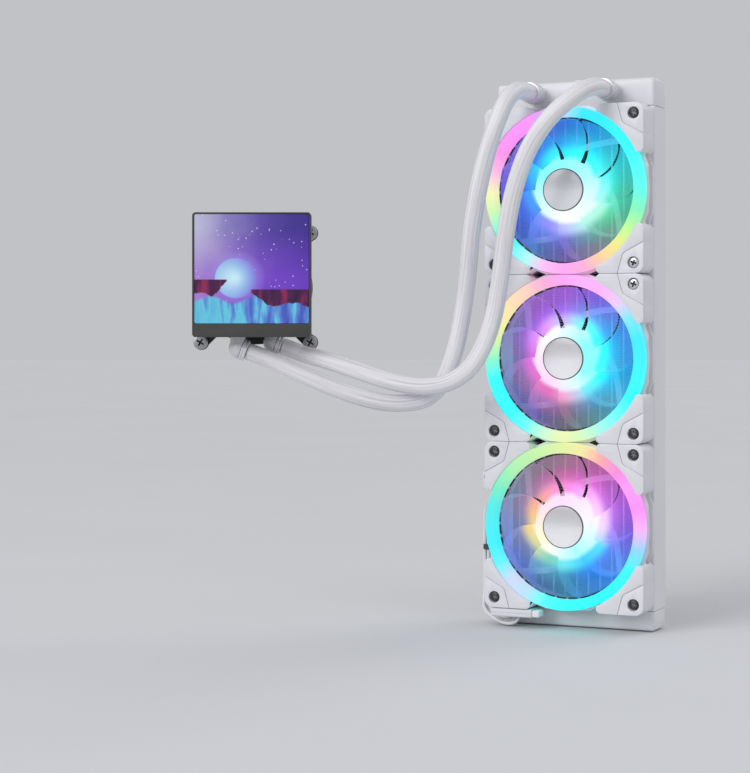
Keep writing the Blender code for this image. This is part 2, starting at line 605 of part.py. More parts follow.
bezel = rounded_box("lcd_bezel", (-LCD_W / 2, 0.0, LCD_LOW), (LCD_W / 2, LCD_DEPTH, LCD_HIGH), DARK_PLASTIC,
                    2.5 * MM, 3, pick=along(1))
boolean(bezel, rounded_box("screen_opening", (-SCREEN_W / 2, -5 * MM, SCREEN_LOW),
                           (SCREEN_W / 2, 3.4 * MM, SCREEN_HIGH), None, 1.5 * MM, 2, pick=along(1),
                           collection=CUTTERS))
smooth_round(bezel)
in_head(bezel)
panel = rounded_box("lcd_panel", (-SCREEN_W / 2 + GAP, 0.2 * MM, SCREEN_LOW + GAP),
                    (SCREEN_W / 2 - GAP, 3.1 * MM, SCREEN_HIGH - GAP), SCREEN_GLASS, 1.3 * MM, 2,
                    pick=along(1))
in_head(panel)

housing = turned("pump_housing", [(0.0, -PUMP_FRONT_Y), (PUMP_R - 1.5 * MM, -PUMP_FRONT_Y),
                                  (PUMP_R, -(PUMP_FRONT_Y + 1.5 * MM)), (PUMP_R, -46.5 * MM),
                                  (37.0 * MM, -46.5 * MM), (38.0 * MM, -47.5 * MM), (38.0 * MM, -PUMP_REAR_Y),
                                  (0.0, -PUMP_REAR_Y)], DARK_PLASTIC, 28, matrix=AXIS_Y)
ELBOWS = [("left", -10.2 * MM, 19.0 * MM, -52.5 * MM), ("right", 14.0 * MM, 29.5 * MM, -48.9 * MM)]
for label, x, y, z in ELBOWS:
    boolean(housing, cylinders("boss_" + label, [((x, y, z + 8.3 * MM - PUMP_Z), (x, y, -22 * MM))],
                               7.0 * MM, None, 16, CUTTERS), 'UNION')
# The motor chamber opens to the front, the pump chamber opens to the cold plate
boolean(housing, cylinders("motor_chamber", [((0, PUMP_FRONT_Y - 5 * MM, 0), (0, 38 * MM, 0))],
                           18.5 * MM, None, 20, CUTTERS))
boolean(housing, cylinders("pump_chamber", [((0, 42 * MM, 0), (0, PUMP_REAR_Y + 5 * MM, 0))],
                           20.0 * MM, None, 20, CUTTERS))
for label, x, y, z in ELBOWS:
    boolean(housing, cylinders("boss_bore_" + label, [((x, y, z + 5 * MM - PUMP_Z), (x, y, -26 * MM))],
                               3.5 * MM, None, 12, CUTTERS))
housing.data.transform(Matrix.Translation((0, 0, PUMP_Z)))
smooth_round(housing)
in_head(housing)

motor = turned("pump_motor", [(2.6 * MM, -17 * MM), (17.5 * MM, -17 * MM), (17.5 * MM, -37.4 * MM),
                              (2.6 * MM, -37.4 * MM)], MOTOR_METAL, 24, closed=True,
               matrix=Matrix.Translation((0, 0, PUMP_Z)) @ AXIS_Y)
in_head(motor)

impeller = turned("impeller", [(0.0, -43.0 * MM), (3.0 * MM, -43.0 * MM), (3.4 * MM, -45.6 * MM),
                               (17.0 * MM, -46.4 * MM), (17.0 * MM, -48.4 * MM), (0.0, -48.4 * MM)],
                  IMPELLER_PLASTIC, 24, matrix=AXIS_Y)
bm = bmesh.new()
for k in range(6):
    before = len(bm.verts)
    verts = box_bm(bm, (4.2 * MM, 48.0 * MM, -0.7 * MM), (16.0 * MM, 52.6 * MM, 0.7 * MM))
    bmesh.ops.rotate(bm, verts=verts, cent=(0, 0, 0), matrix=Matrix.Rotation(2 * math.pi * k / 6, 3, 'Y'))
mesh = bpy.data.meshes.new("vanes")
bm.to_mesh(mesh)
bm.free()
boolean(impeller, add_object("vanes", mesh, None, CUTTERS), 'UNION')
impeller.data.transform(Matrix.Translation((0, 0, PUMP_Z)))
impeller.data.transform(HEAD_FRAME)
set_origin(impeller, HEAD_FRAME @ Vector((0, 48 * MM, PUMP_Z)))

cold = rounded_box("cold_plate", (-29 * MM, PUMP_REAR_Y + GAP, PUMP_Z - 29 * MM),
                   (29 * MM, 58.2 * MM, PUMP_Z + 29 * MM), COPPER, 3 * MM, 2, pick=along(1))
boolean(cold, rounded_box("cold_block", (-21 * MM, 57 * MM, PUMP_Z - 21 * MM),
                          (21 * MM, PLATE_REAR_Y, PUMP_Z + 21 * MM), None, 1.5 * MM, 1, pick=along(1),
                          collection=CUTTERS), 'UNION')
in_head(cold)

# Retention bracket: a ring trapped in front of the housing's rear flange, with
# four arms that end in screw eyes
bracket = turned("retention_bracket", [(PUMP_R + 0.4 * MM, -43.6 * MM), (41.5 * MM, -43.6 * MM),
                                       (41.5 * MM, -46.2 * MM), (PUMP_R + 0.4 * MM, -46.2 * MM)],
                 BRACKET_STEEL, 28, closed=True, matrix=AXIS_Y)
reach = EYE_PITCH / 2
arms = bpy.data.meshes.new("arms")
bm = bmesh.new()
for k in range(4):
    a = math.radians(45 + 90 * k)
    verts = box_bm(bm, (38.5 * MM, 43.8 * MM, -5.0 * MM), (reach * math.sqrt(2), 46.0 * MM, 5.0 * MM))
    bmesh.ops.rotate(bm, verts=verts, cent=(0, 0, 0), matrix=Matrix.Rotation(-a, 3, 'Y'))
bm.to_mesh(arms)
bm.free()
boolean(bracket, add_object("arms", arms, None, CUTTERS), 'UNION')
eyes = [(sx * reach, sz * reach) for sx in (-1, 1) for sz in (-1, 1)]
boolean(bracket, cylinders("eye_bosses", [((x, 43.6 * MM, z), (x, 46.2 * MM, z)) for x, z in eyes],
                           5.6 * MM, None, 14, CUTTERS), 'UNION')
boolean(bracket, cylinders("eye_holes", [((x, 40 * MM, z), (x, 50 * MM, z)) for x, z in eyes],
                           2.6 * MM, None, 10, CUTTERS))
bracket.data.transform(Matrix.Translation((0, 0, PUMP_Z)))
in_head(bracket)
for (x, z) in eyes:
    name = "captive_screw_%s_%s" % ("upper" if z > 0 else "lower", "left" if x < 0 else "right")
    screw = turned(name, [(0.0, -36.2 * MM), (4.6 * MM, -36.2 * MM), (5.2 * MM, -36.8 * MM), (5.2 * MM, -43.2 * MM),
                          (2.0 * MM, -43.2 * MM), (2.0 * MM, -60.0 * MM), (0.0, -60.0 * MM)], SCREW_STEEL, 12,
                   matrix=AXIS_Y)
    screw.data.transform(Matrix.Rotation(HEAD_TURN, 4, 'Z'))
    screw.location = HEAD_FRAME @ Vector((x, 0, z + PUMP_Z))

# Swivel elbows and crimped collars
out_dir = Vector((math.cos(ELBOW_TILT), 0, -math.sin(ELBOW_TILT)))
hose_starts = {}
for label, x, y, z in ELBOWS:
    corner = Vector((x, y, z))
    elbow = cylinders("elbow_" + label, [(corner, corner + Vector((0, 0, 8.0 * MM)))], 6.6 * MM, ELBOW_WHITE, 16)
    ball = bpy.data.meshes.new("ball")
    bm = bmesh.new()
    bmesh.ops.create_uvsphere(bm, u_segments=16, v_segments=8, radius=ELBOW_R,
                              matrix=Matrix.Translation(corner) @ Matrix.Rotation(math.radians(90) + ELBOW_TILT, 4, 'Y'))
    bm.to_mesh(ball)
    bm.free()
    boolean(elbow, add_object("elbow_ball_" + label, ball, None, CUTTERS), 'UNION')
    cut = out_dir.to_track_quat('Z', 'Y').to_matrix().to_4x4()
    face = rounded_box("elbow_face_" + label, (-12 * MM, -12 * MM, 1.6 * MM), (12 * MM, 12 * MM, 14 * MM), None,
                       collection=CUTTERS)
    face.data.transform(Matrix.Translation(corner) @ cut)
    boolean(elbow, face)
    smooth_round(elbow)
    in_head(elbow)
    turn = out_dir.to_track_quat('Z', 'Y').to_matrix().to_4x4()
    collar = turned("collar_pump_" + label, [(3.0 * MM, 5.9 * MM), (7.4 * MM, 5.9 * MM), (7.8 * MM, 5.4 * MM),
                                             (7.8 * MM, 2.4 * MM), (7.4 * MM, 1.9 * MM), (3.0 * MM, 1.9 * MM)],
                    COLLAR_WHITE, 16, closed=True, matrix=Matrix.Translation(corner) @ turn)
    in_head(collar)
    hose_starts[label] = [HEAD_FRAME @ (corner + out_dir * d * MM) for d in (6.3, 11.0, 16.0, 22.0)]
for side, label in ((-1, "left"), (1, "right")):
    place = Matrix.Translation((side * PORT_X, -RAD_DEPTH, PORT_Z)) @ AXIS_Y
    turned("collar_radiator_" + label, [(3.2 * MM, 18.4 * MM), (7.2 * MM, 18.4 * MM), (7.7 * MM, 17.9 * MM),
                                        (7.7 * MM, 6.8 * MM), (7.2 * MM, 6.3 * MM), (3.2 * MM, 6.3 * MM)],
           COLLAR_WHITE, 16, closed=True, matrix=place)

# ---------------------------------------------------------------- hoses
HOSE_POINTS = 44
LEFT_ROUTE = [(-172.0, -114.2, 173.6), (-149.1, -105.8, 163.7), (-125.6, -97.1, 156.3),
              (-107.3, -89.7, 154.8), (-92.1, -83.7, 158.2), (-81.3, -79.8, 169.3), (-73.7, -78.5, 187.2),
              (-68.7, -78.4, 205.8), (-64.4, -78.6, 228.6), (-60.2, -81.1, 253.4), (-56.7, -83.9, 276.8),
              (-49.9, -87.3, 307.1), (-41.9, -90.0, 333.6), (-34.5, -90.0, 354.0), (-30.2, -83.5, 368.6),
              (-28.4, -72.0, 376.0), (-28.0, -58.0, 378.0)]
RIGHT_ROUTE = [(-165.9, -104.4, 186.3), (-141.6, -103.0, 179.2), (-117.8, -100.9, 171.9),
               (-101.6, -99.1, 168.4), (-84.3, -97.7, 167.3), (-68.2, -95.8, 170.5), (-54.8, -92.9, 179.7),
               (-44.8, -91.5, 195.2), (-37.2, -91.3, 215.2), (-31.7, -92.1, 242.1), (-26.7, -93.1, 275.7),
               (-20.3, -93.4, 305.8), (-9.6, -92.9, 333.6), (4.0, -91.0, 353.5), (16.5, -84.5, 366.5),
               (25.0, -73.5, 375.0), (28.0, -60.0, 378.0)]
for label, route, side in (("left", LEFT_ROUTE, -1), ("right", RIGHT_ROUTE, 1)):
    last = Vector((side * PORT_X, -RAD_DEPTH - 18.7 * MM, PORT_Z))
    route = list(hose_starts[label]) + [Vector(p) * MM for p in route] + [last]
    smooth_round(tube("hose_" + label, smooth_route(route, HOSE_POINTS), HOSE_R, HOSE_WHITE, 2))

# ---------------------------------------------------------------- fan cables
# The block under the bottom fan carries the plug-on contacts; two thin cables
# leave its underside, turn round the radiator's left edge and lie coiled there.
BLOCK_LO = (-56.0 * MM, -51.0 * MM, 0.6 * MM)
BLOCK_HI = (-24.0 * MM, -29.0 * MM, 6.6 * MM)
rounded_box("fan_connector", BLOCK_LO, BLOCK_HI, WHITE_PLASTIC, 1.2 * MM, 2)
# Each cable is folded into the same hank: four layers across X, the light cable
# inside the fan cable, then straight up into its plug.
CABLES = [
    ("fan_cable", [(-37.5, -41.0, 0.2), (-37.5, -41.2, -1.8), (-39.6, -42.0, -4.3), (-44.5, -42.6, -5.5),
                   (-50.0, -42.3, -4.9), (-56.0, -41.0, -2.8), (-62.6, -38.0, 0.2), (-68.2, -32.6, 3.8),
                   (-70.9, -26.4, 7.6), (-71.3, -24.2, 12.0), (-71.3, -24.0, 16.0)]),
    ("light_cable", [(-41.5, -37.5, 0.2), (-41.5, -37.5, -2.0), (-43.4, -38.0, -3.9), (-48.0, -38.4, -4.2),
                     (-54.0, -37.4, -3.2), (-60.0, -34.8, -1.6), (-66.0, -29.6, 1.0), (-70.0, -24.6, 4.4),
                     (-71.2, -21.8, 8.6), (-71.3, -21.3, 13.6)]),
]
for name, route in CABLES:
    smooth_round(tube(name, smooth_route([Vector(p) * MM for p in route], 22), CABLE_R, CABLE_WHITE, 2))


def stadium(width, height, steps=8):
    r = width / 2
    pts = []
    for k in range(steps + 1):
        a = math.pi * k / steps
        pts.append((r * math.cos(a), height / 2 - r + r * math.sin(a)))
    for k in range(steps + 1):
        a = math.pi + math.pi * k / steps
        pts.append((r * math.cos(a), -height / 2 + r + r * math.sin(a)))
    return pts


HANK_LO, HANK_HI, HANK_W, HANK_Y = 12.0 * MM, 82.8 * MM, 24.8 * MM, -13.0 * MM
HANK_IN_X, HANK_OUT_X = -60.9 * MM, -72.7 * MM
hank = outline_plate("cable_coil", stadium(HANK_W, HANK_HI - HANK_LO), HANK_OUT_X, HANK_IN_X, CABLE_WHITE)
hank.data.transform(Matrix.Translation((0, HANK_Y, (HANK_LO + HANK_HI) / 2)) @
                    Matrix.Rotation(math.radians(90), 4, 'Z') @ Matrix.Rotation(math.radians(90), 4, 'X'))
for name, y, low_y, low_z in (("fan_plug", -25.6, -24.6, 79.3), ("light_plug", -19.0, -20.7, 81.4)):
    plug = rounded_box(name, (-71.2 * MM, (y - 3.0) * MM, 90.0 * MM), (-61.2 * MM, (y + 3.0) * MM, 103.0 * MM),
                       PLUG_WHITE, 0.5 * MM, 1)
    boolean(plug, cylinders(name + "_boot", [((-62.7 * MM, low_y * MM, low_z * MM),
                                              (-64.0 * MM, y * MM, 91.0 * MM))], 1.4 * MM, None, 10, CUTTERS), 'UNION')

for obj in PARTS.objects:
    if obj.type == 'MESH' and any(word in obj.name for word in ("ring", "cap_", "motor", "screw", "collar", "plug")):
        if len(obj.data.polygons) > 30:
            smooth_round(obj)
bpy.context.view_layer.update()
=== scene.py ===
# Looks of the liquid cooling radiator: a closed loop cooler with three lit fans,
# two sleeved hoses and a pump head with a square display.
import bpy
import bmesh
import math
from mathutils import Matrix, Vector


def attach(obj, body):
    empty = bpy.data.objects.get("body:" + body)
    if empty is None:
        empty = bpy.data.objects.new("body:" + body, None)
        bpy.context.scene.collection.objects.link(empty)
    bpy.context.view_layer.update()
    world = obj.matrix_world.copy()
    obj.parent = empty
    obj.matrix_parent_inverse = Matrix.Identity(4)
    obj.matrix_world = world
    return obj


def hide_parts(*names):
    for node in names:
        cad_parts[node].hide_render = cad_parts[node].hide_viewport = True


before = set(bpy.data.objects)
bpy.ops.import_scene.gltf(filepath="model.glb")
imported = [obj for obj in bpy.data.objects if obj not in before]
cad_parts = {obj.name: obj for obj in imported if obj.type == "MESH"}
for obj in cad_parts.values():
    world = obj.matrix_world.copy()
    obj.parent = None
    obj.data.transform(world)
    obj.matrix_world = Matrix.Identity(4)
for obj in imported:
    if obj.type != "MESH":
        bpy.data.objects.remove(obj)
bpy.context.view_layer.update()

MM = 0.001
SCENE = bpy.context.scene
ROOT = "cooler"

# ------------------------------------------------------------------ dimensions
HALF_W = 60.0 * MM
RAD_DEPTH = 27.0 * MM
FAN_SIZE = 119.7 * MM
FAN_FRONT_Y = -52.0 * MM
FAN_REAR_Y = -27.3 * MM
DUCT_R = 52.25 * MM
RING_R = 59.6 * MM
RING_DEPTH = 9.6 * MM
HUB_R = 21.5 * MM
CAP_R = 15.25 * MM
TIP_R = 51.1 * MM
CORNER = 34.8 * MM
HOLE = 52.5 * MM
FANS = [("bottom", 67.0 * MM), ("middle", 187.0 * MM), ("top", 307.0 * MM)]
HEAD_ORIGIN = Vector((-200.57 * MM, -145.10 * MM, 246.65 * MM))
HEAD_TURN = math.radians(24.9)
HEAD = Matrix.Translation(HEAD_ORIGIN) @ Matrix.Rotation(HEAD_TURN, 4, 'Z')
PUMP_Z = -8.5 * MM
ELBOW_TILT = math.radians(21)
ELBOWS = [("left", -10.2 * MM, 19.0 * MM, -52.5 * MM), ("right", 14.0 * MM, 29.5 * MM, -48.9 * MM)]
OUT_DIR = Vector((math.cos(ELBOW_TILT), 0, -math.sin(ELBOW_TILT)))
HOSE_R = 6.35 * MM
CABLE_R = 1.3 * MM
PORT_X, PORT_Z = 28.0 * MM, 378.0 * MM
AXIS_Y = Matrix.Rotation(math.radians(90), 4, 'X')      # local Z -> world -Y

# ------------------------------------------------------------------ camera
VIEW_TURN = math.radians(24.9)
cam_data = bpy.data.cameras.new("camera")
cam_data.sensor_fit = 'AUTO'
cam_data.sensor_width = 36.0
cam_data.lens = 2000.0 / 773.0 * 36.0
cam_data.shift_x = (375.0 - 400.0) / 773.0
cam_data.shift_y = -(386.5 - 331.7) / 773.0
cam_data.clip_end = 20.0
cam_data.dof.use_dof = False
camera = bpy.data.objects.new("camera", cam_data)
SCENE.collection.objects.link(camera)
right = Vector((math.cos(VIEW_TURN), math.sin(VIEW_TURN), 0))
ahead = Vector((-math.sin(VIEW_TURN), math.cos(VIEW_TURN), 0))
camera.matrix_world = Matrix(((right.x, 0, -ahead.x, 0.493915), (right.y, 0, -ahead.y, -1.390462),
                              (0, 1, 0, 0.205984), (0, 0, 0, 1)))
SCENE.camera = camera
SCENE.view_settings.view_transform = 'Standard'


# ------------------------------------------------------------------ mesh tools
def link(obj):
    SCENE.collection.objects.link(obj)
    return obj


def new_object(name, mesh, mats=()):
    obj = link(bpy.data.objects.new(name, mesh))
    mesh.materials.clear()
    for m in (mats if isinstance(mats, (list, tuple)) else (mats,)):
        mesh.materials.append(m)
    return obj


def evaluated(obj):
    bpy.context.view_layer.update()
    graph = bpy.context.evaluated_depsgraph_get()
    return bpy.data.meshes.new_from_object(obj.evaluated_get(graph))


def settle(obj, weld=0.0):
    mesh = evaluated(obj)
    bm = bmesh.new()
    bm.from_mesh(mesh)
    if weld:
        bmesh.ops.remove_doubles(bm, verts=bm.verts, dist=weld)
    bmesh.ops.recalc_face_normals(bm, faces=bm.faces)
    bm.to_mesh(mesh)
    bm.free()
    name = obj.name
    if obj.type == 'MESH':
        obj.modifiers.clear()
        obj.data = mesh
        mesh.name = name
        return obj
    matrix = obj.matrix_world.copy()
    bpy.data.objects.remove(obj, do_unlink=True)
    new = link(bpy.data.objects.new(name, mesh))
    new.matrix_world = matrix
    return new


def box_bm(bm, lo, hi):
    made = bmesh.ops.create_cube(bm, size=1.0)
    bmesh.ops.scale(bm, vec=[hi[i] - lo[i] for i in range(3)], verts=made["verts"])
    bmesh.ops.translate(bm, vec=[(hi[i] + lo[i]) / 2 for i in range(3)], verts=made["verts"])
    return made["verts"]


def rounded_box(name, lo, hi, mats=(), radius=0.0, segments=4, pick=None, edge=0.0):
    """A box with its picked edges rounded, and, when an edge width is given, every other sharp edge softened."""
    bm = bmesh.new()
    box_bm(bm, lo, hi)
    if radius > 0.0:
        edges = [e for e in bm.edges if pick is None or pick(e.verts[0].co, e.verts[1].co)]
        bmesh.ops.bevel(bm, geom=edges, offset=radius, segments=segments, profile=0.5,
                        affect='EDGES', clamp_overlap=True)
    mesh = bpy.data.meshes.new(name)
    bm.to_mesh(mesh)
    bm.free()
    obj = new_object(name, mesh, mats)
    if edge > 0.0:
        soften(obj, edge)
    return obj


def along(axis):
    def pick(a, b):
        d = b - a
        return abs(d[axis]) > 0.9 * d.length
    return pick


def soften(obj, width, segments=2, angle=35.0):
    """Rounded edges on every corner sharper than the angle, with smooth shading."""
    mod = obj.modifiers.new("edges", 'BEVEL')
    mod.width = width
    mod.segments = segments
    mod.limit_method = 'ANGLE'
    mod.angle_limit = math.radians(angle)
    mod.harden_normals = False
    mod.use_clamp_overlap = True
    settle(obj)
    smooth(obj, 40.0)
    return obj


def smooth(obj, angle=35.0):
    for face in obj.data.polygons:
        face.use_smooth = True
    obj.data.set_sharp_from_angle(angle=math.radians(angle))
    return obj


def bars(name, places, radius, mats=(), steps=32):
    bm = bmesh.new()
    for start, end in places:
        start, end = Vector(start), Vector(end)
        run = end - start
        turn = run.to_track_quat('Z', 'Y').to_matrix().to_4x4()
        bmesh.ops.create_cone(bm, cap_ends=True, cap_tris=False, segments=steps, radius1=radius,
                              radius2=radius, depth=run.length,
                              matrix=Matrix.Translation((start + end) / 2) @ turn)
    mesh = bpy.data.meshes.new(name)
    bm.to_mesh(mesh)
    bm.free()
    return new_object(name, mesh, mats)


def turned(name, profile, mats=(), steps=96, closed=False, matrix=Matrix.Identity(4), angle=35.0):
    mesh = bpy.data.meshes.new(name)
    verts = [(r, 0.0, h) for r, h in profile]
    edges = [(i, i + 1) for i in range(len(verts) - 1)]
    if closed:
        edges.append((len(verts) - 1, 0))
    mesh.from_pydata(verts, edges, [])
    obj = link(bpy.data.objects.new(name, mesh))
    screw = obj.modifiers.new("turn", 'SCREW')
    screw.axis = 'Z'
    screw.angle = 2 * math.pi
    screw.steps = steps
    screw.render_steps = steps
    screw.use_merge_vertices = True
    screw.merge_threshold = 0.000005
    settle(obj, 0.000005)
    obj.data.transform(matrix)
    obj.data.materials.clear()
    for m in (mats if isinstance(mats, (list, tuple)) else (mats,)):
        obj.data.materials.append(m)
    return smooth(obj, angle)


def rounded_profile(points, radius, steps=3):
    """A closed section with every corner rounded."""
    out = []
    n = len(points)
    for i in range(n):
        p, a, b = Vector(points[i]), Vector(points[i - 1]), Vector(points[(i + 1) % n])
        ra = min(radius, (a - p).length * 0.45, (b - p).length * 0.45)
        s, e = p + (a - p).normalized() * ra, p + (b - p).normalized() * ra
        for k in range(steps + 1):
            t = k / steps
            q = s * (1 - t) ** 2 + p * (2 * t * (1 - t)) + e * t ** 2
            out.append((q.x, q.y))
    return out


def plate(name, points, z_lo, z_hi, mats=()):
    curve = bpy.data.curves.new(name, 'CURVE')
    curve.dimensions = '2D'
    curve.fill_mode = 'BOTH'
    curve.extrude = (z_hi - z_lo) / 2
    spline = curve.splines.new('POLY')
    spline.points.add(len(points) - 1)
    for point, (x, y) in zip(spline.points, points):
        point.co = (x, y, 0.0, 1.0)
    spline.use_cyclic_u = True
    obj = link(bpy.data.objects.new(name, curve))
    obj = settle(obj, 0.000001)
    obj.data.transform(Matrix.Translation((0, 0, (z_lo + z_hi) / 2)))
    obj.data.materials.clear()
    for m in (mats if isinstance(mats, (list, tuple)) else (mats,)):
        obj.data.materials.append(m)
    return obj


def boolean(target, cutter, operation='DIFFERENCE'):
    step = target.modifiers.new("step", 'BOOLEAN')
    step.operation = operation
    step.solver = 'EXACT'
    step.object = cutter
    keep = list(target.data.materials)
    settle(target, 0.000001)
    bpy.data.objects.remove(cutter, do_unlink=True)
    target.data.materials.clear()
    for m in keep:
        target.data.materials.append(m)
    for face in target.data.polygons:
        if face.material_index >= max(len(keep), 1):
            face.material_index = 0
    return target


def joined(name, objs, mats=None):
    """Several meshes in one object, each keeping its own material slots."""
    bm = bmesh.new()
    slots = []
    for o in objs:
        mesh = o.data.copy()
        mesh.transform(o.matrix_world)
        first = len(bm.faces)
        bm.from_mesh(mesh)
        bm.faces.ensure_lookup_table()
        for face in bm.faces[first:]:
            m = mesh.materials[face.material_index] if mesh.materials else None
            if m not in slots:
                slots.append(m)
            face.material_index = slots.index(m)
    mesh = bpy.data.meshes.new(name)
    bm.to_mesh(mesh)
    bm.free()
    for o in objs:
        bpy.data.objects.remove(o, do_unlink=True)
    for m in slots:
        mesh.materials.append(m)
    return link(bpy.data.objects.new(name, mesh))


def ride(obj, body=ROOT, nodes=()):
    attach(obj, body)
    if nodes:
        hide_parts(*nodes)
    return obj


# ------------------------------------------------------------------ materials
def shader_of(name):
    mat = bpy.data.materials.new(name)
    mat.use_nodes = True
    tree = mat.node_tree
    return mat, tree, tree.nodes["Principled BSDF"]


def add(tree, kind, **values):
    node = tree.nodes.new(kind)
    for key, value in values.items():
        if key in node.inputs:
            node.inputs[key].default_value = value
        else:
            setattr(node, key, value)
    return node


def math_node(tree, operation, a, b=None):
    node = tree.nodes.new("ShaderNodeMath")
    node.operation = operation
    for i, value in enumerate((a, b)):
        if value is None:
            continue
        if isinstance(value, (int, float)):
            node.inputs[i].default_value = value
        else:
            tree.links.new(value, node.inputs[i])
    return node.outputs[0]


def ramp(tree, factor, stops, interpolation='LINEAR'):
    node = tree.nodes.new("ShaderNodeValToRGB")
    node.color_ramp.interpolation = interpolation
    elements = node.color_ramp.elements
    while len(elements) > 1:
        elements.remove(elements[-1])
    for i, (position, colour) in enumerate(stops):
        e = elements[0] if i == 0 else elements.new(position)
        e.position = position
        e.color = (*colour, 1.0)
    tree.links.new(factor, node.inputs["Fac"])
    return node.outputs["Color"]


def surface(name, colour, roughness, metallic=0.0, mottle=0.06, mottle_scale=40.0, rough_spread=0.08,
            grain_scale=900.0, grain=0.12, grain_depth=0.00006, coat=0.0, sheen=0.0, specular=0.5, stretch=None):
    """A finish with slight colour variation, uneven gloss and a fine grain in its relief."""
    mat, tree, shader = shader_of(name)
    L = tree.links.new
    where = tree.nodes.new("ShaderNodeTexCoord").outputs["Object"]
    if stretch:
        mapping = tree.nodes.new("ShaderNodeMapping")
        mapping.inputs["Scale"].default_value = stretch
        L(where, mapping.inputs["Vector"])
        fine_where = mapping.outputs["Vector"]
    else:
        fine_where = where
    cloud = add(tree, "ShaderNodeTexNoise", Scale=mottle_scale, Detail=4.0)
    L(where, cloud.inputs["Vector"])
    lo = tuple(max(c * (1 - mottle), 0.0) for c in colour)
    hi = tuple(min(c * (1 + mottle), 1.0) for c in colour)
    L(ramp(tree, cloud.outputs["Fac"], [(0.3, lo), (0.7, hi)]), shader.inputs["Base Color"])
    fine = add(tree, "ShaderNodeTexNoise", Scale=grain_scale, Detail=3.0)
    L(fine_where, fine.inputs["Vector"])
    spread = add(tree, "ShaderNodeMapRange")
    spread.inputs["To Min"].default_value = max(roughness - rough_spread, 0.02)
    spread.inputs["To Max"].default_value = min(roughness + rough_spread, 1.0)
    L(cloud.outputs["Fac"], spread.inputs["Value"])
    L(spread.outputs["Result"], shader.inputs["Roughness"])
    relief = add(tree, "ShaderNodeBump")
    relief.inputs["Strength"].default_value = grain
    relief.inputs["Distance"].default_value = grain_depth
    L(fine.outputs["Fac"], relief.inputs["Height"])
    L(relief.outputs["Normal"], shader.inputs["Normal"])
    shader.inputs["Metallic"].default_value = metallic
    shader.inputs["Coat Weight"].default_value = coat
    shader.inputs["Coat Roughness"].default_value = 0.15
    shader.inputs["Sheen Weight"].default_value = sheen
    shader.inputs["Specular IOR Level"].default_value = specular
    return mat


def srgb(text):
    out = []
    for i in (0, 2, 4):
        c = int(text[i:i + 2], 16) / 255.0
        out.append(c / 12.92 if c <= 0.04045 else ((c + 0.055) / 1.055) ** 2.4)
    return tuple(out)


WHITE_METAL = surface("white powder coat", srgb("dfdfe3"), 0.40, 0.0, 0.025, 22.0, 0.06, 1500.0, 0.22, 0.00005)
WHITE_PLASTIC = surface("white moulding", srgb("dcdbe0"), 0.42, 0.0, 0.02, 18.0, 0.05, 2200.0, 0.18, 0.00003)
PAD_RUBBER = surface("pale rubber pad", srgb("d2d1d6"), 0.65, 0.0, 0.03, 30.0, 0.06, 1800.0, 0.25, 0.00004)
TUBE_METAL = surface("brazed aluminium", srgb("dfe2e8"), 0.38, 0.25, 0.06, 60.0, 0.10, 700.0, 0.2, 0.00004)
FIN_METAL = surface("fin strip", srgb("a4abbf"), 0.45, 0.25, 0.08, 80.0, 0.12, 1200.0, 0.2, 0.00002)


def cap_material():
    """Satin disc with a brushed grain, and painted shade: grey at its top edge, near white at its bottom edge."""
    mat, tree, shader = shader_of("satin silver disc")
    L = tree.links.new
    where = tree.nodes.new("ShaderNodeTexCoord").outputs["Object"]
    parts = tree.nodes.new("ShaderNodeSeparateXYZ")
    L(where, parts.inputs[0])
    stretch = tree.nodes.new("ShaderNodeMapping")
    stretch.inputs["Scale"].default_value = (60.0, 60.0, 1400.0)
    L(where, stretch.inputs["Vector"])
    brush = add(tree, "ShaderNodeTexNoise", Scale=1.0, Detail=3.0)
    L(stretch.outputs["Vector"], brush.inputs["Vector"])
    # Painted shade: the height term darkens the disc towards its top edge; the brush noise adds grain.
    f = math_node(tree, 'ADD', math_node(tree, 'DIVIDE', parts.outputs[2], 0.031), math_node(tree, 'MULTIPLY', brush.outputs["Fac"], 0.16))
    f = math_node(tree, 'ADD', f, 0.42)
    L(ramp(tree, f, [(0.05, srgb("f4f4f6")), (0.45, srgb("e6e5e8")), (0.62, srgb("cfced1")), (0.95, srgb("b2b0b3"))]), shader.inputs["Base Color"])
    relief = add(tree, "ShaderNodeBump")
    relief.inputs["Strength"].default_value = 0.10
    relief.inputs["Distance"].default_value = 0.00002
    L(brush.outputs["Fac"], relief.inputs["Height"])
    L(relief.outputs["Normal"], shader.inputs["Normal"])
    shader.inputs["Roughness"].default_value = 0.34
    shader.inputs["Metallic"].default_value = 0.05
    shader.inputs["Coat Weight"].default_value = 0.3
    shader.inputs["Coat Roughness"].default_value = 0.15
    return mat


CAP_SILVER_SHADED = cap_material()
CAP_RIM = surface("dark disc rim", srgb("5a5a60"), 0.40, 0.3, 0.05, 60.0, 0.06, 1200.0, 0.1, 0.00002)
MOTOR_METAL = surface("wound motor", srgb("8a6a44"), 0.42, 0.8, 0.15, 120.0, 0.10, 900.0, 0.3, 0.0001)
SCREW_BLACK = surface("black zinc screw", srgb("3a3a3d"), 0.34, 0.35, 0.10, 150.0, 0.10, 1400.0, 0.15, 0.00003)
CAPTIVE = surface("nickel plated screw", srgb("a3a3a6"), 0.34, 0.6, 0.08, 150.0, 0.10, 1400.0, 0.15, 0.00003)
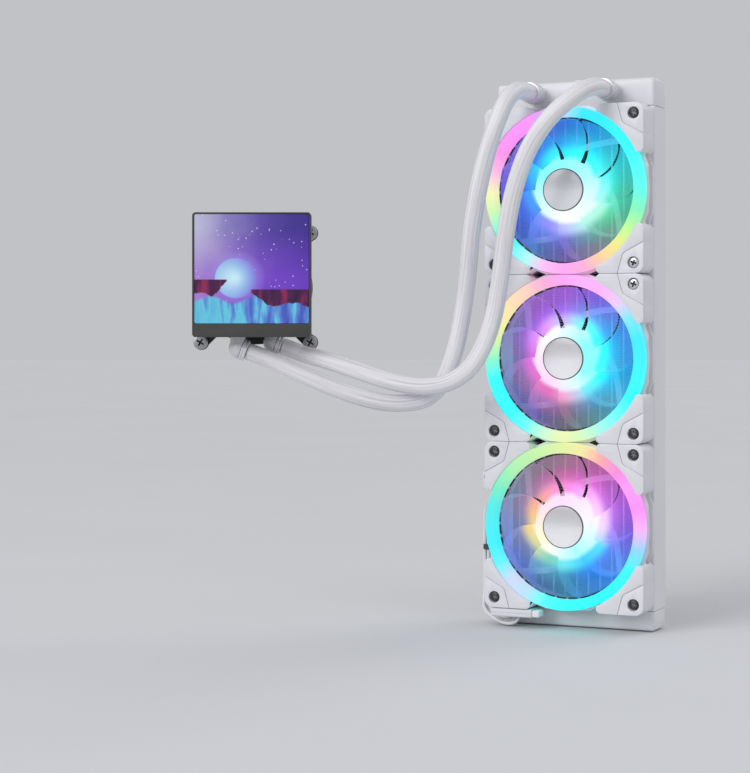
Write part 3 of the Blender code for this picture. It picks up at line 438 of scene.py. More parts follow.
# Recess colours: the black one is painted shade in the cross recesses of the bright screws; the grey one marks the
# recesses of the black screws.
RECESS_GREY = surface("recess grey", srgb("77777b"), 0.40, 0.3, 0.10, 150.0, 0.08, 1400.0, 0.15, 0.00003)
RECESS_SHADE_BLACK = surface("painted recess shade black", srgb("202023"), 0.50, 0.2, 0.10, 150.0, 0.08, 1400.0, 0.15, 0.00003)
SCREW_STEEL = surface("bright zinc screw", srgb("d2d3d6"), 0.28, 0.75, 0.06, 150.0, 0.10, 1400.0, 0.15, 0.00003)
COLLAR_WHITE = surface("collar", srgb("d8d8db"), 0.28, 0.15, 0.03, 60.0, 0.06, 1200.0, 0.12, 0.00002, coat=0.3)
ELBOW_WHITE = surface("elbow moulding", srgb("cfcfd3"), 0.34, 0.0, 0.03, 40.0, 0.06, 1600.0, 0.15, 0.00003, coat=0.2)
CHARCOAL = surface("charcoal housing", srgb("3e3e3c"), 0.40, 0.0, 0.06, 30.0, 0.06, 1800.0, 0.22, 0.00004)
BLACK_METAL = surface("black bracket", srgb("29292b"), 0.42, 0.6, 0.08, 40.0, 0.08, 1500.0, 0.25, 0.00005)
COPPER = surface("machined copper", srgb("c98562"), 0.26, 1.0, 0.07, 25.0, 0.10, 500.0, 0.25, 0.00003, stretch=(1.0, 1.0, 14.0))
IMPELLER = surface("impeller moulding", srgb("3a3a40"), 0.45, 0.0, 0.06, 60.0, 0.06, 1500.0, 0.2, 0.00004)
CABLE_WHITE = surface("cable jacket", srgb("dddde0"), 0.45, 0.0, 0.03, 60.0, 0.08, 1600.0, 0.15, 0.00003)
PLUG_WHITE = surface("plug moulding", srgb("d9d9dc"), 0.42, 0.0, 0.03, 60.0, 0.06, 1600.0, 0.15, 0.00003)
PIN_GOLD = surface("contact", srgb("d9b66a"), 0.25, 1.0, 0.06, 200.0, 0.06, 900.0, 0.1, 0.00002)
TIE_BLACK = surface("tie", srgb("3c3c40"), 0.55, 0.0, 0.06, 60.0, 0.06, 1500.0, 0.25, 0.00004)
# Painted shade: a dark sheet where the clearance round the blade tips lies in shadow.
GAP_SHADE_DARK = surface("shadow lining", srgb("2a2c34"), 0.7, 0.0, 0.1, 60.0, 0.06, 1500.0, 0.2, 0.00004)
PCB = surface("board", srgb("1f5a3a"), 0.45, 0.0, 0.15, 200.0, 0.06, 900.0, 0.3, 0.00005)


def sleeve_material():
    """Woven sleeve: crossing strands in the relief, read from the tube's own UV map."""
    mat, tree, shader = shader_of("braided sleeve")
    L = tree.links.new
    uv = tree.nodes.new("ShaderNodeTexCoord").outputs["UV"]
    parts = tree.nodes.new("ShaderNodeSeparateXYZ")
    L(uv, parts.inputs[0])
    u, v = parts.outputs[0], parts.outputs[1]           # u along in metres, v round 0..1
    a = math_node(tree, 'ADD', math_node(tree, 'MULTIPLY', u, 2 * math.pi * 520.0),
                  math_node(tree, 'MULTIPLY', v, 2 * math.pi * 22.0))
    b = math_node(tree, 'SUBTRACT', math_node(tree, 'MULTIPLY', u, 2 * math.pi * 520.0),
                  math_node(tree, 'MULTIPLY', v, 2 * math.pi * 22.0))
    weave = math_node(tree, 'MULTIPLY', math_node(tree, 'SINE', a), math_node(tree, 'SINE', b))
    weave = math_node(tree, 'ABSOLUTE', weave)
    relief = add(tree, "ShaderNodeBump")
    relief.inputs["Strength"].default_value = 0.35
    relief.inputs["Distance"].default_value = 0.00022
    L(weave, relief.inputs["Height"])
    # Painted highlights: soft lengthwise streaks of lighter and darker colour stand in for the sheen along the sleeve.
    angle = math_node(tree, 'MULTIPLY', v, 2 * math.pi)
    flat = tree.nodes.new("ShaderNodeCombineXYZ")
    L(math_node(tree, 'MULTIPLY', math_node(tree, 'COSINE', angle), 2.6), flat.inputs[0])
    L(math_node(tree, 'MULTIPLY', math_node(tree, 'SINE', angle), 2.6), flat.inputs[1])
    L(math_node(tree, 'MULTIPLY', u, 9.0), flat.inputs[2])
    painted_highlight_streak = add(tree, "ShaderNodeTexNoise", Scale=1.6, Detail=4.0)
    L(flat.outputs[0], painted_highlight_streak.inputs["Vector"])
    mixed = math_node(tree, 'ADD', math_node(tree, 'MULTIPLY', weave, 0.22), math_node(tree, 'MULTIPLY', painted_highlight_streak.outputs["Fac"], 0.78))
    L(ramp(tree, mixed, [(0.28, srgb("c2c0c5")), (0.42, srgb("dddbdf")), (0.55, srgb("ebe9ec")), (0.7, srgb("f7f5f8"))]),
      shader.inputs["Base Color"])
    L(relief.outputs["Normal"], shader.inputs["Normal"])
    shader.inputs["Roughness"].default_value = 0.40
    shader.inputs["Sheen Weight"].default_value = 0.25
    shader.inputs["Sheen Roughness"].default_value = 0.4
    return mat


SLEEVE = sleeve_material()


def clock_stops(hours):
    """(clock hour, colour) pairs as ramp stops round from six o'clock, closed on itself."""
    stops = sorted((((h / 12.0) + 0.5) % 1.0, c) for h, c in hours)
    p0, c0 = stops[0]
    p1, c1 = stops[-1]
    t = (1.0 - p1) / max(1.0 - p1 + p0, 1e-6)
    seam = tuple(c1[i] * (1 - t) + c0[i] * t for i in range(3))
    out = [(0.0, seam)] if p0 > 0.001 else []
    out += stops
    if p1 < 0.999:
        out.append((1.0, seam))
    return out


def polar(tree):
    """Clock angle (0 at six o'clock, clockwise) and radius in metres, about the object's own Y axis."""
    where = tree.nodes.new("ShaderNodeTexCoord").outputs["Object"]
    parts = tree.nodes.new("ShaderNodeSeparateXYZ")
    tree.links.new(where, parts.inputs[0])
    x, z = parts.outputs[0], parts.outputs[2]
    angle = math_node(tree, 'ARCTAN2', x, z)
    turn = math_node(tree, 'ADD', math_node(tree, 'DIVIDE', angle, 2 * math.pi), 0.5)
    radius = math_node(tree, 'SQRT', math_node(tree, 'ADD', math_node(tree, 'MULTIPLY', x, x),
                                               math_node(tree, 'MULTIPLY', z, z)))
    return turn, radius, where


def ring_material(name, hours, strength=1.0):
    mat, tree, shader = shader_of(name)
    L = tree.links.new
    turn, radius, where = polar(tree)
    soft = add(tree, "ShaderNodeTexNoise", Scale=260.0, Detail=2.0)
    L(where, soft.inputs["Vector"])
    shifted = math_node(tree, 'ADD', turn, math_node(tree, 'MULTIPLY', math_node(tree, 'SUBTRACT', soft.outputs["Fac"], 0.5), 0.012))
    colour = ramp(tree, shifted, clock_stops([(h, srgb(c)) for h, c in hours]))
    L(colour, shader.inputs["Emission Color"])
    L(ramp(tree, shifted, clock_stops([(h, tuple(v * 0.08 for v in srgb(c))) for h, c in hours])), shader.inputs["Base Color"])
    shader.inputs["Emission Strength"].default_value = strength
    shader.inputs["Roughness"].default_value = 0.45
    shader.inputs["Specular IOR Level"].default_value = 0.2
    relief = add(tree, "ShaderNodeBump")
    relief.inputs["Strength"].default_value = 0.12
    relief.inputs["Distance"].default_value = 0.00004
    fine = add(tree, "ShaderNodeTexNoise", Scale=1500.0, Detail=2.0)
    L(where, fine.inputs["Vector"])
    L(fine.outputs["Fac"], relief.inputs["Height"])
    L(relief.outputs["Normal"], shader.inputs["Normal"])
    return mat


def mix_colour(tree, factor, a, b):
    node = tree.nodes.new("ShaderNodeMix")
    node.data_type = 'RGBA'
    tree.links.new(factor, node.inputs[0])
    tree.links.new(a, node.inputs[6])
    tree.links.new(b, node.inputs[7])
    return node.outputs[2]


def blade_material(name, hub, inner, middle, outer, strength=0.95):
    """Translucent blades: light from the hub fades outwards and takes the ring's colours."""
    mat, tree, shader = shader_of(name)
    L = tree.links.new
    turn, radius, where = polar(tree)

    def blend(rows, dim):
        maps = [ramp(tree, turn, clock_stops([(h, tuple(v * dim for v in srgb(c))) for h, c in row])) for row in rows]
        colour = maps[0]
        for (lo, hi), nxt in zip(((0.0210, 0.0262), (0.027, 0.036), (0.036, 0.047)), maps[1:]):
            f = add(tree, "ShaderNodeMapRange")
            f.interpolation_type = 'SMOOTHSTEP'
            f.inputs["From Min"].default_value = lo
            f.inputs["From Max"].default_value = hi
            L(radius, f.inputs["Value"])
            colour = mix_colour(tree, f.outputs["Result"], colour, nxt)
        return colour

    rows = (hub, inner, middle, outer)
    L(blend(rows, 1.0), shader.inputs["Emission Color"])
    L(blend(rows, 0.16), shader.inputs["Base Color"])
    shader.inputs["Emission Strength"].default_value = strength
    clear = add(tree, "ShaderNodeMapRange")
    clear.interpolation_type = 'SMOOTHSTEP'
    clear.inputs["From Min"].default_value = 0.024
    clear.inputs["From Max"].default_value = 0.042
    clear.inputs["To Min"].default_value = 0.95
    clear.inputs["To Max"].default_value = 0.42
    L(radius, clear.inputs["Value"])
    L(clear.outputs["Result"], shader.inputs["Alpha"])
    shader.inputs["Specular IOR Level"].default_value = 0.25
    cloud = add(tree, "ShaderNodeTexNoise", Scale=60.0, Detail=3.0)
    L(where, cloud.inputs["Vector"])
    spread = add(tree, "ShaderNodeMapRange")
    spread.inputs["To Min"].default_value = 0.30
    spread.inputs["To Max"].default_value = 0.45
    L(cloud.outputs["Fac"], spread.inputs["Value"])
    L(spread.outputs["Result"], shader.inputs["Roughness"])
    return mat


RING_HOURS = {
    "top": [(0, "b8d8f8"), (0.5, "37e5fd"), (2, "33fbff"), (3, "61fbe9"), (3.5, "81f1bc"), (4, "bbf698"), (4.5, "ede78c"),
            (5, "fecda0"), (5.5, "feaada"), (6, "faa7ed"), (6.5, "fcbcf4"), (7, "aaf7f1"), (7.5, "4ff4f4"), (8, "7af4d8"),
            (8.5, "c8f2b0"), (9, "f2f0b4"), (9.5, "f8b8e0"), (10, "ff93e7"), (11, "ff93ff"), (11.5, "d4a8f4")],
    "middle": [(0, "ffa4ee"), (0.5, "fdb0ff"), (1, "f7affb"), (1.5, "ebc5fe"), (2, "80e6f8"), (2.5, "42e7fa"), (4, "36fefc"),
               (4.5, "71fcff"), (5, "9ff4e5"), (5.5, "cff4bf"), (6, "e6f1af"), (6.5, "c8f4d0"), (7, "6cf8f0"), (7.5, "39faff"),
               (8.5, "3cf8fa"), (9, "8ef4c8"), (9.5, "d8f4a0"), (10, "f4eca4"), (10.5, "f8dcb0"), (11, "f6cfc0"), (11.5, "f5aed7")],
    "bottom": [(0, "dbeda3"), (0.5, "efe5a4"), (1, "faabac"), (1.5, "fd8ddc"), (2, "fc9df7"), (2.5, "f793fe"), (3, "f3b3ff"),
               (3.5, "8cd5fe"), (4, "3cf4f5"), (5, "2dfbff"), (6, "3afafc"), (6.5, "54fefc"), (7, "b5defb"), (7.5, "c9d7fe"),
               (8, "69effa"), (8.5, "40ecff"), (9.5, "58e8e0"), (10, "80e8c0"), (10.5, "a8ecb0"), (11.5, "c8eea8")],
}
BLADE_HOURS = {
    "top": ([(0, "33f1fb"), (1, "35fcff"), (2, "4afafc"), (3, "92fbfd"), (4, "aff3dc"), (5, "aef3e4"), (6, "b9c1fd"), (7, "928ef8"),
             (8, "5197f6"), (9, "41a0fa"), (10, "37c2fa"), (11, "36e5fc")],
            [(0, "33b3f9"), (1, "32dafb"), (2, "3ae8ed"), (3, "4aead2"), (4, "63dba8"), (5, "72b0ab"), (6, "7972cf"), (7, "6d88eb"),
             (8, "4d76ee"), (9, "4a74ee"), (10, "487cf0"), (11, "3a98f6")],
            [(0, "358af5"), (1, "31b2f8"), (2, "36daeb"), (3, "46d5b7"), (4, "65c29f"), (5, "8e91a0"), (6, "7e68b7"), (7, "4e83c8"),
             (8, "4a68e0"), (9, "6a5ae6"), (10, "906be8"), (11, "6a78f0")]),
    "middle": ([(0, "bac1fb"), (1, "69f7f9"), (2, "36f9ff"), (4, "36faff"), (5, "7be2f7"), (6, "eca7ce"), (7, "df70b8"), (8, "df76c8"),
                (9, "d86dde"), (10, "db8bf7"), (11, "e0a2ff")],
               [(0, "a977f5"), (1, "719ffb"), (2, "40b1ff"), (3, "33c5fb"), (4, "33c6f6"), (5, "5ba2ca"), (6, "987090"), (7, "ae78bf"),
                (8, "a477b8"), (9, "9571bc"), (10, "a372dd"), (11, "af6aef")],
               [(0, "b26aee"), (1, "8871f7"), (2, "4d9bfe"), (3, "32a8fb"), (4, "37bbeb"), (5, "5b9fad"), (6, "7c767e"), (7, "7269b8"),
                (8, "727ec2"), (9, "7c9cc5"), (10, "8987c3"), (11, "a96fda")]),
    "bottom": ([(0, "fa8de4"), (1, "fbacfb"), (2, "f9c6f9"), (3, "ebcffd"), (4, "56daf8"), (5, "3ac6f7"), (6, "68e5ee"), (7, "80ceb9"),
                (8, "d6d89e"), (9, "f0d088"), (10, "f0b08c"), (11, "f29cb8")],
               [(0, "d573b2"), (1, "e574dd"), (2, "d176f0"), (3, "a977f6"), (4, "548efd"), (5, "348cf7"), (6, "4395bc"), (7, "60a9cf"),
                (8, "7988bc"), (9, "8a90b8"), (10, "a88cb0"), (11, "c07cb0")],
               [(0, "b383a0"), (1, "cc6cb6"), (2, "c568e8"), (3, "9168f2"), (4, "498cf8"), (5, "3592ee"), (6, "3f90b2"), (7, "5375b9"),
                (8, "6d89ea"), (9, "7a94d8"), (10, "8a98b8"), (11, "9a8ca4")]),
}
HUB_HOURS = {
    "top": [(0, "8cfbff"), (2, "abffff"), (4, "e0fcfa"), (6, "fcfbfd"), (8, "caffff"), (10, "88fcfe")],
    "middle": [(0, "dffbfc"), (2, "8cfff9"), (4, "8cfeff"), (5, "d3fbfe"), (7, "fdd4f7"), (9, "ffe2ff"), (11, "fefcff")],
    "bottom": [(0, "ffd9fd"), (2, "ffedff"), (4, "c8fcff"), (5, "a6fefd"), (7, "f2f9ec"), (8, "fbf8d1"), (10, "fbe0e0")],
}


def screen_material():
    """A generic picture: stars in a violet sky, a pale disc, two dark ledges and blue dunes."""
    mat, tree, shader = shader_of("display picture")
    L = tree.links.new
    where = tree.nodes.new("ShaderNodeTexCoord").outputs["Object"]
    parts = tree.nodes.new("ShaderNodeSeparateXYZ")
    L(where, parts.inputs[0])

    def m(op, a, b=None):
        return math_node(tree, op, a, b)

    def between(value, lo, hi):
        node = add(tree, "ShaderNodeMapRange")
        node.inputs["From Min"].default_value = lo
        node.inputs["From Max"].default_value = hi
        L(value, node.inputs["Value"])
        return node.outputs["Result"]

    x = m('DIVIDE', parts.outputs[0], 0.041)                            # -1..1 across
    y = m('DIVIDE', m('SUBTRACT', parts.outputs[2], 0.0041), 0.039)     # -1..1 up
    cloud = add(tree, "ShaderNodeTexNoise", Scale=22.0, Detail=5.0)
    L(where, cloud.inputs["Vector"])
    drift = m('MULTIPLY', m('SUBTRACT', cloud.outputs["Fac"], 0.5), 0.5)
    # Sky: pale at the upper left, indigo at the upper right, violet lower down
    across = ramp(tree, m('ADD', m('ADD', m('MULTIPLY', x, 0.40), m('MULTIPLY', y, -0.05)), m('ADD', drift, 0.5)),
                  [(0.06, srgb("bab8d8")), (0.30, srgb("8a7fc0")), (0.52, srgb("5c49a6")), (0.75, srgb("40308e")), (0.95, srgb("352788"))])
    lower = ramp(tree, m('ADD', m('MULTIPLY', x, 0.42), m('ADD', drift, 0.5)),
                 [(0.05, srgb("a583d2")), (0.35, srgb("8f62cc")), (0.65, srgb("7040c4")), (0.95, srgb("6438b8"))])
    sky = mix_colour(tree, between(y, 0.75, -0.15), across, lower)
    stars = add(tree, "ShaderNodeTexVoronoi", Scale=260.0)
    L(where, stars.inputs["Vector"])
    star = m('MULTIPLY', m('MULTIPLY', between(stars.outputs["Distance"], 0.17, 0.05), m('GREATER_THAN', cloud.outputs["Fac"], 0.44)), 0.8)
    white = ramp(tree, y, [(0.0, srgb("e6d6f8")), (1.0, srgb("f2ecff"))])
    picture = mix_colour(tree, star, sky, white)
    # Disc
    dx, dy = m('SUBTRACT', x, -0.27), m('SUBTRACT', y, -0.17)
    dist = m('SQRT', m('ADD', m('MULTIPLY', dx, dx), m('MULTIPLY', dy, dy)))
    shade = ramp(tree, m('ADD', m('MULTIPLY', dist, 1.6), m('MULTIPLY', dx, 0.7)),
                 [(0.05, srgb("c8ecf8")), (0.35, srgb("9cc4ee")), (0.65, srgb("8a94e4")), (0.9, srgb("7a6cd8"))])
    picture = mix_colour(tree, between(dist, 0.375, 0.355), picture, shade)
    halo = m('MULTIPLY', between(dist, 0.52, 0.37), m('GREATER_THAN', dist, 0.365))
    picture = mix_colour(tree, m('MULTIPLY', halo, 0.35), picture, ramp(tree, y, [(0.0, srgb("a890f0")), (1.0, srgb("b8a8f8"))]))
    # Dunes
    wave = m('ADD', m('MULTIPLY', m('SINE', m('ADD', m('MULTIPLY', x, 7.0), m('MULTIPLY', drift, 5.0))), 0.07), m('MULTIPLY', m('SINE', m('MULTIPLY', x, 2.4)), 0.05))
    grain = add(tree, "ShaderNodeTexNoise", Scale=1.0, Detail=4.0)
    stretch = tree.nodes.new("ShaderNodeMapping")
    stretch.inputs["Scale"].default_value = (170.0, 10.0, 38.0)
    stretch.inputs["Rotation"].default_value = (0.0, 0.35, 0.0)
    L(where, stretch.inputs["Vector"])
    L(stretch.outputs["Vector"], grain.inputs["Vector"])
    dunes = ramp(tree, m('ADD', m('MULTIPLY', grain.outputs["Fac"], 0.8), m('MULTIPLY', x, 0.14)),
                 [(0.18, srgb("5fb6dc")), (0.34, srgb("62c8e0")), (0.42, srgb("5d8fd8")), (0.52, srgb("4a68c6")), (0.62, srgb("3f4eae")), (0.8, srgb("5560c8"))])
    picture = mix_colour(tree, between(m('ADD', y, m('MULTIPLY', wave, -1.0)), -0.50, -0.56), picture, dunes)
    # Ledges: flat on top, ragged underneath
    ragged = m('MULTIPLY', m('SUBTRACT', cloud.outputs["Fac"], 0.5), 0.9)
    stone = ramp(tree, grain.outputs["Fac"], [(0.3, srgb("300c36")), (0.5, srgb("4a1446")), (0.66, srgb("8c2350"))])
    for sx, edge, top, depth in ((-1, -0.42, -0.19, 0.24), (1, -0.02, -0.37, 0.26)):
        away = m('SUBTRACT', edge, x) if sx < 0 else m('SUBTRACT', x, edge)
        reach = m('ADD', m('MINIMUM', m('MULTIPLY', away, 0.9), depth), ragged)
        below_top = between(m('SUBTRACT', top, y), 0.0, 0.012)
        above_low = between(m('SUBTRACT', reach, m('SUBTRACT', top, y)), 0.0, 0.02)
        inside = m('MULTIPLY', m('MULTIPLY', below_top, above_low), between(away, 0.0, 0.02))
        picture = mix_colour(tree, inside, picture, stone)
    L(picture, shader.inputs["Emission Color"])
    shader.inputs["Base Color"].default_value = (0.012, 0.012, 0.016, 1.0)
    shader.inputs["Emission Strength"].default_value = 0.95
    shader.inputs["Roughness"].default_value = 0.14
    shader.inputs["Coat Weight"].default_value = 0.15
    shader.inputs["Coat Roughness"].default_value = 0.12
    shader.inputs["Specular IOR Level"].default_value = 0.15
    return mat


SCREEN = screen_material()


# ------------------------------------------------------------------ cords
def smooth_route(points, count, passes=30):
    pts = [Vector(p) for p in points]
    ext = [pts[0] * 2 - pts[1]] + pts + [pts[-1] * 2 - pts[-2]]
    dense = []
    for i in range(1, len(ext) - 2):
        p0, p1, p2, p3 = ext[i - 1:i + 3]
        t0 = 0.0
        t1 = t0 + (p1 - p0).length ** 0.5
        t2 = t1 + (p2 - p1).length ** 0.5
        t3 = t2 + (p3 - p2).length ** 0.5
        for k in range(24):
            t = t1 + (t2 - t1) * k / 24.0
            a1 = p0 * ((t1 - t) / (t1 - t0)) + p1 * ((t - t0) / (t1 - t0))
            a2 = p1 * ((t2 - t) / (t2 - t1)) + p2 * ((t - t1) / (t2 - t1))
            a3 = p2 * ((t3 - t) / (t3 - t2)) + p3 * ((t - t2) / (t3 - t2))
            b1 = a1 * ((t2 - t) / (t2 - t0)) + a2 * ((t - t0) / (t2 - t0))
            b2 = a2 * ((t3 - t) / (t3 - t1)) + a3 * ((t - t1) / (t3 - t1))
            dense.append(b1 * ((t2 - t) / (t2 - t1)) + b2 * ((t - t1) / (t2 - t1)))
    dense.append(pts[-1])
    for _ in range(passes):
        dense = [dense[0]] + [dense[i] * 0.5 + (dense[i - 1] + dense[i + 1]) * 0.25
                              for i in range(1, len(dense) - 1)] + [dense[-1]]
    return spaced(dense, count)


def spaced(dense, count):
    run = [0.0]
    for a, b in zip(dense, dense[1:]):
        run.append(run[-1] + (b - a).length)
    out, j = [], 0
    for k in range(count):
        want = run[-1] * k / (count - 1)
        while j < len(run) - 2 and run[j + 1] < want:
            j += 1
        t = (want - run[j]) / max(run[j + 1] - run[j], 1e-12)
        out.append(dense[j].lerp(dense[j + 1], min(max(t, 0.0), 1.0)))
    return out


def length_of(points):
    return sum((b - a).length for a, b in zip(points, points[1:]))


def sleeve_tube(name, points, radius, mat, rings=760, sides=48):
    """A hose with its woven sleeve's crossing strands in the mesh itself."""
    centre = spaced(points, rings)
    bm = bmesh.new()
    uv_layer = bm.loops.layers.uv.new("UVMap")
    tangent = (centre[1] - centre[0]).normalized()
    normal = tangent.orthogonal().normalized()
    total = length_of(centre)
    rows = []
    for i, c in enumerate(centre):
        t = (centre[min(i + 1, rings - 1)] - centre[max(i - 1, 0)]).normalized()
        normal = (normal - t * normal.dot(t)).normalized()
        side = t.cross(normal)
        u = total * i / (rings - 1)
        row = []
        for k in range(sides):
            v = k / sides
            w = abs(math.sin(math.pi * (u * 260.0 + v * 16)) * math.sin(math.pi * (u * 260.0 - v * 16)))
            r = radius - 0.11 * MM + 0.13 * MM * w
            if i in (0, rings - 1):
                r = radius - 0.5 * MM
            a = 2 * math.pi * v
            row.append(bm.verts.new(c + normal * (r * math.cos(a)) + side * (r * math.sin(a))))
        rows.append((row, u))
    for i in range(rings - 1):
        (ra, ua), (rb, ub) = rows[i], rows[i + 1]
        for k in range(sides):
            k2 = (k + 1) % sides
            f = bm.faces.new((ra[k], ra[k2], rb[k2], rb[k]))
            f.smooth = True
            for loop, (uu, vv) in zip(f.loops, ((ua, k / sides), (ua, (k + 1) / sides), (ub, (k + 1) / sides), (ub, k / sides))):
                loop[uv_layer].uv = (uu, vv)
    for row, flip in ((rows[0][0], False), (rows[-1][0], True)):
        bm.faces.new(row[::-1] if not flip else row)
    bmesh.ops.recalc_face_normals(bm, faces=bm.faces)
    mesh = bpy.data.meshes.new(name)
    bm.to_mesh(mesh)
    bm.free()
    return new_object(name, mesh, mat)


LEFT_ROUTE = [(-172.0, -114.2, 173.6), (-149.1, -105.8, 163.7), (-125.6, -97.1, 156.3),
              (-107.3, -89.7, 154.8), (-92.1, -83.7, 158.2), (-81.3, -79.8, 169.3), (-73.7, -78.5, 187.2),
              (-68.7, -78.4, 205.8), (-64.4, -78.6, 228.6), (-60.2, -81.1, 253.4), (-56.7, -83.9, 276.8),
              (-49.9, -87.3, 307.1), (-41.9, -90.0, 333.6), (-34.5, -90.0, 354.0), (-30.2, -83.5, 368.6),
              (-28.4, -72.0, 376.0), (-28.0, -58.0, 378.0)]
RIGHT_ROUTE = [(-165.9, -104.4, 186.3), (-141.6, -103.0, 179.2), (-117.8, -100.9, 171.9),
               (-101.6, -99.1, 168.4), (-84.3, -97.7, 167.3), (-68.2, -95.8, 170.5), (-54.8, -92.9, 179.7),
               (-44.8, -91.5, 195.2), (-37.2, -91.3, 215.2), (-31.7, -92.1, 242.1), (-26.7, -93.1, 275.7),
               (-20.3, -93.4, 305.8), (-9.6, -92.9, 333.6), (4.0, -91.0, 353.5), (16.5, -84.5, 366.5),
               (25.0, -73.5, 375.0), (28.0, -60.0, 378.0)]
for (label, x, y, z), route, side in zip(ELBOWS, (LEFT_ROUTE, RIGHT_ROUTE), (-1, 1)):
    corner = Vector((x, y, z))
    starts = [HEAD @ (corner + OUT_DIR * d * MM) for d in (6.3, 11.0, 16.0, 22.0)]
    last = Vector((side * PORT_X, -RAD_DEPTH - 18.7 * MM, PORT_Z))
    points = smooth_route(starts + [Vector(p) * MM for p in route] + [last], 200)
    hose = sleeve_tube("hose_sleeve_" + label, points, HOSE_R, SLEEVE)
    ride(hose, ROOT, ["hose_" + label])

HANK_Y, HANK_LOW, HANK_HIGH = -13.0, 24.4, 70.4
LAYERS = [-71.3, -68.3, -65.3, -62.3]
LEADS = [
    ("fan_cable", 11.0, [(-37.5, -41.0, 0.2), (-37.5, -41.2, -1.8), (-39.6, -42.0, -4.3), (-44.5, -42.6, -5.5),
                         (-50.0, -42.3, -4.9), (-56.0, -41.0, -2.8), (-62.6, -38.0, 0.2), (-68.2, -32.6, 3.8),
                         (-70.9, -26.4, 7.6), (-71.3, -24.2, 12.0), (-71.3, -24.0, 16.0)], (-62.7, -24.6, 79.3), (-64.0, -25.6, 91.0)),
    ("light_cable", 8.3, [(-41.5, -37.5, 0.2), (-41.5, -37.5, -2.0), (-43.4, -38.0, -3.9), (-48.0, -38.4, -4.2),
                          (-54.0, -37.4, -3.2), (-60.0, -34.8, -1.6), (-66.0, -29.6, 1.0), (-70.0, -24.6, 4.4),
                          (-71.2, -21.8, 8.6), (-71.3, -21.3, 13.6)], (-62.7, -20.7, 81.4), (-64.0, -19.0, 91.0)),
]


def hank_points(radius):
    """The folded turns: straight runs, a fold over the top that steps one layer in, a fold underneath."""
    out = []
    for k in range(3):
        x0, x1 = LAYERS[k], LAYERS[k + 1]
        for i in range(8):
            out.append((x0, HANK_Y - radius, HANK_LOW + (HANK_HIGH - HANK_LOW) * i / 8))
        for i in range(14):
            t = i / 14
            e = t * t * (3 - 2 * t)
            a = math.pi * (1 - t)
            out.append((x0 + (x1 - x0) * e, HANK_Y + radius * math.cos(a), HANK_HIGH + radius * math.sin(a)))
        for i in range(8):
            out.append((x1, HANK_Y + radius, HANK_HIGH - (HANK_HIGH - HANK_LOW) * i / 8))
        for i in range(14):
            a = -math.pi * i / 14
            out.append((x1, HANK_Y + radius * math.cos(a), HANK_LOW + radius * math.sin(a)))
    for i in range(9):
        out.append((LAYERS[3], HANK_Y - radius, HANK_LOW + (HANK_HIGH - HANK_LOW) * i / 8))
    return out


cables = {}
for name, radius, lead, boot_low, boot_high in LEADS:
    lead_points = smooth_route([Vector(p) * MM for p in lead], 26)
    body = [Vector(p) * MM for p in hank_points(radius)]
    tail = [Vector(boot_low) * MM, Vector(boot_high) * MM]
    dense = lead_points + body + tail
    fine = spaced(dense, 1400)
    for _ in range(40):
        fine = [fine[0]] + [fine[i] * 0.5 + (fine[i - 1] + fine[i + 1]) * 0.25 for i in range(1, len(fine) - 1)] + [fine[-1]]
    points = spaced(fine, 240)
    curve = bpy.data.curves.new(name + "_jacket", 'CURVE')
    curve.dimensions = '3D'
    curve.bevel_depth = CABLE_R
    curve.bevel_resolution = 4
    curve.use_fill_caps = True
    spline = curve.splines.new('POLY')
    spline.points.add(len(points) - 1)
    for p, co in zip(spline.points, points):
        p.co = (*co, 1.0)
    spline.use_smooth = True
    obj = link(bpy.data.objects.new(name + "_jacket", curve))
    curve.materials.append(CABLE_WHITE)
    cables[name] = (obj, points)


# ------------------------------------------------------------------ radiator core
CORE_FRONT, CORE_REAR = -23.5 * MM, -3.5 * MM
TUBE_XS = [(i - 6) * 8.9 * MM for i in range(13)]

pieces = []
for x in TUBE_XS:
    pieces.append(rounded_box("flat_tube", (x - 0.9 * MM, -22.5 * MM, 7.8 * MM), (x + 0.9 * MM, -4.5 * MM, 366.2 * MM),
                              TUBE_METAL, 0.85 * MM, 4, along(2)))
for lo, hi in ((7.3, 8.5), (365.5, 366.7)):
    pieces.append(rounded_box("header", (-58.5 * MM, -25.0 * MM, lo * MM), (58.5 * MM, -2.0 * MM, hi * MM),
                              TUBE_METAL, 0.3 * MM, 2))
tubes = joined("core_tubes", pieces)
smooth(tubes, 40.0)
ride(tubes, ROOT, ["radiator_tubes"])


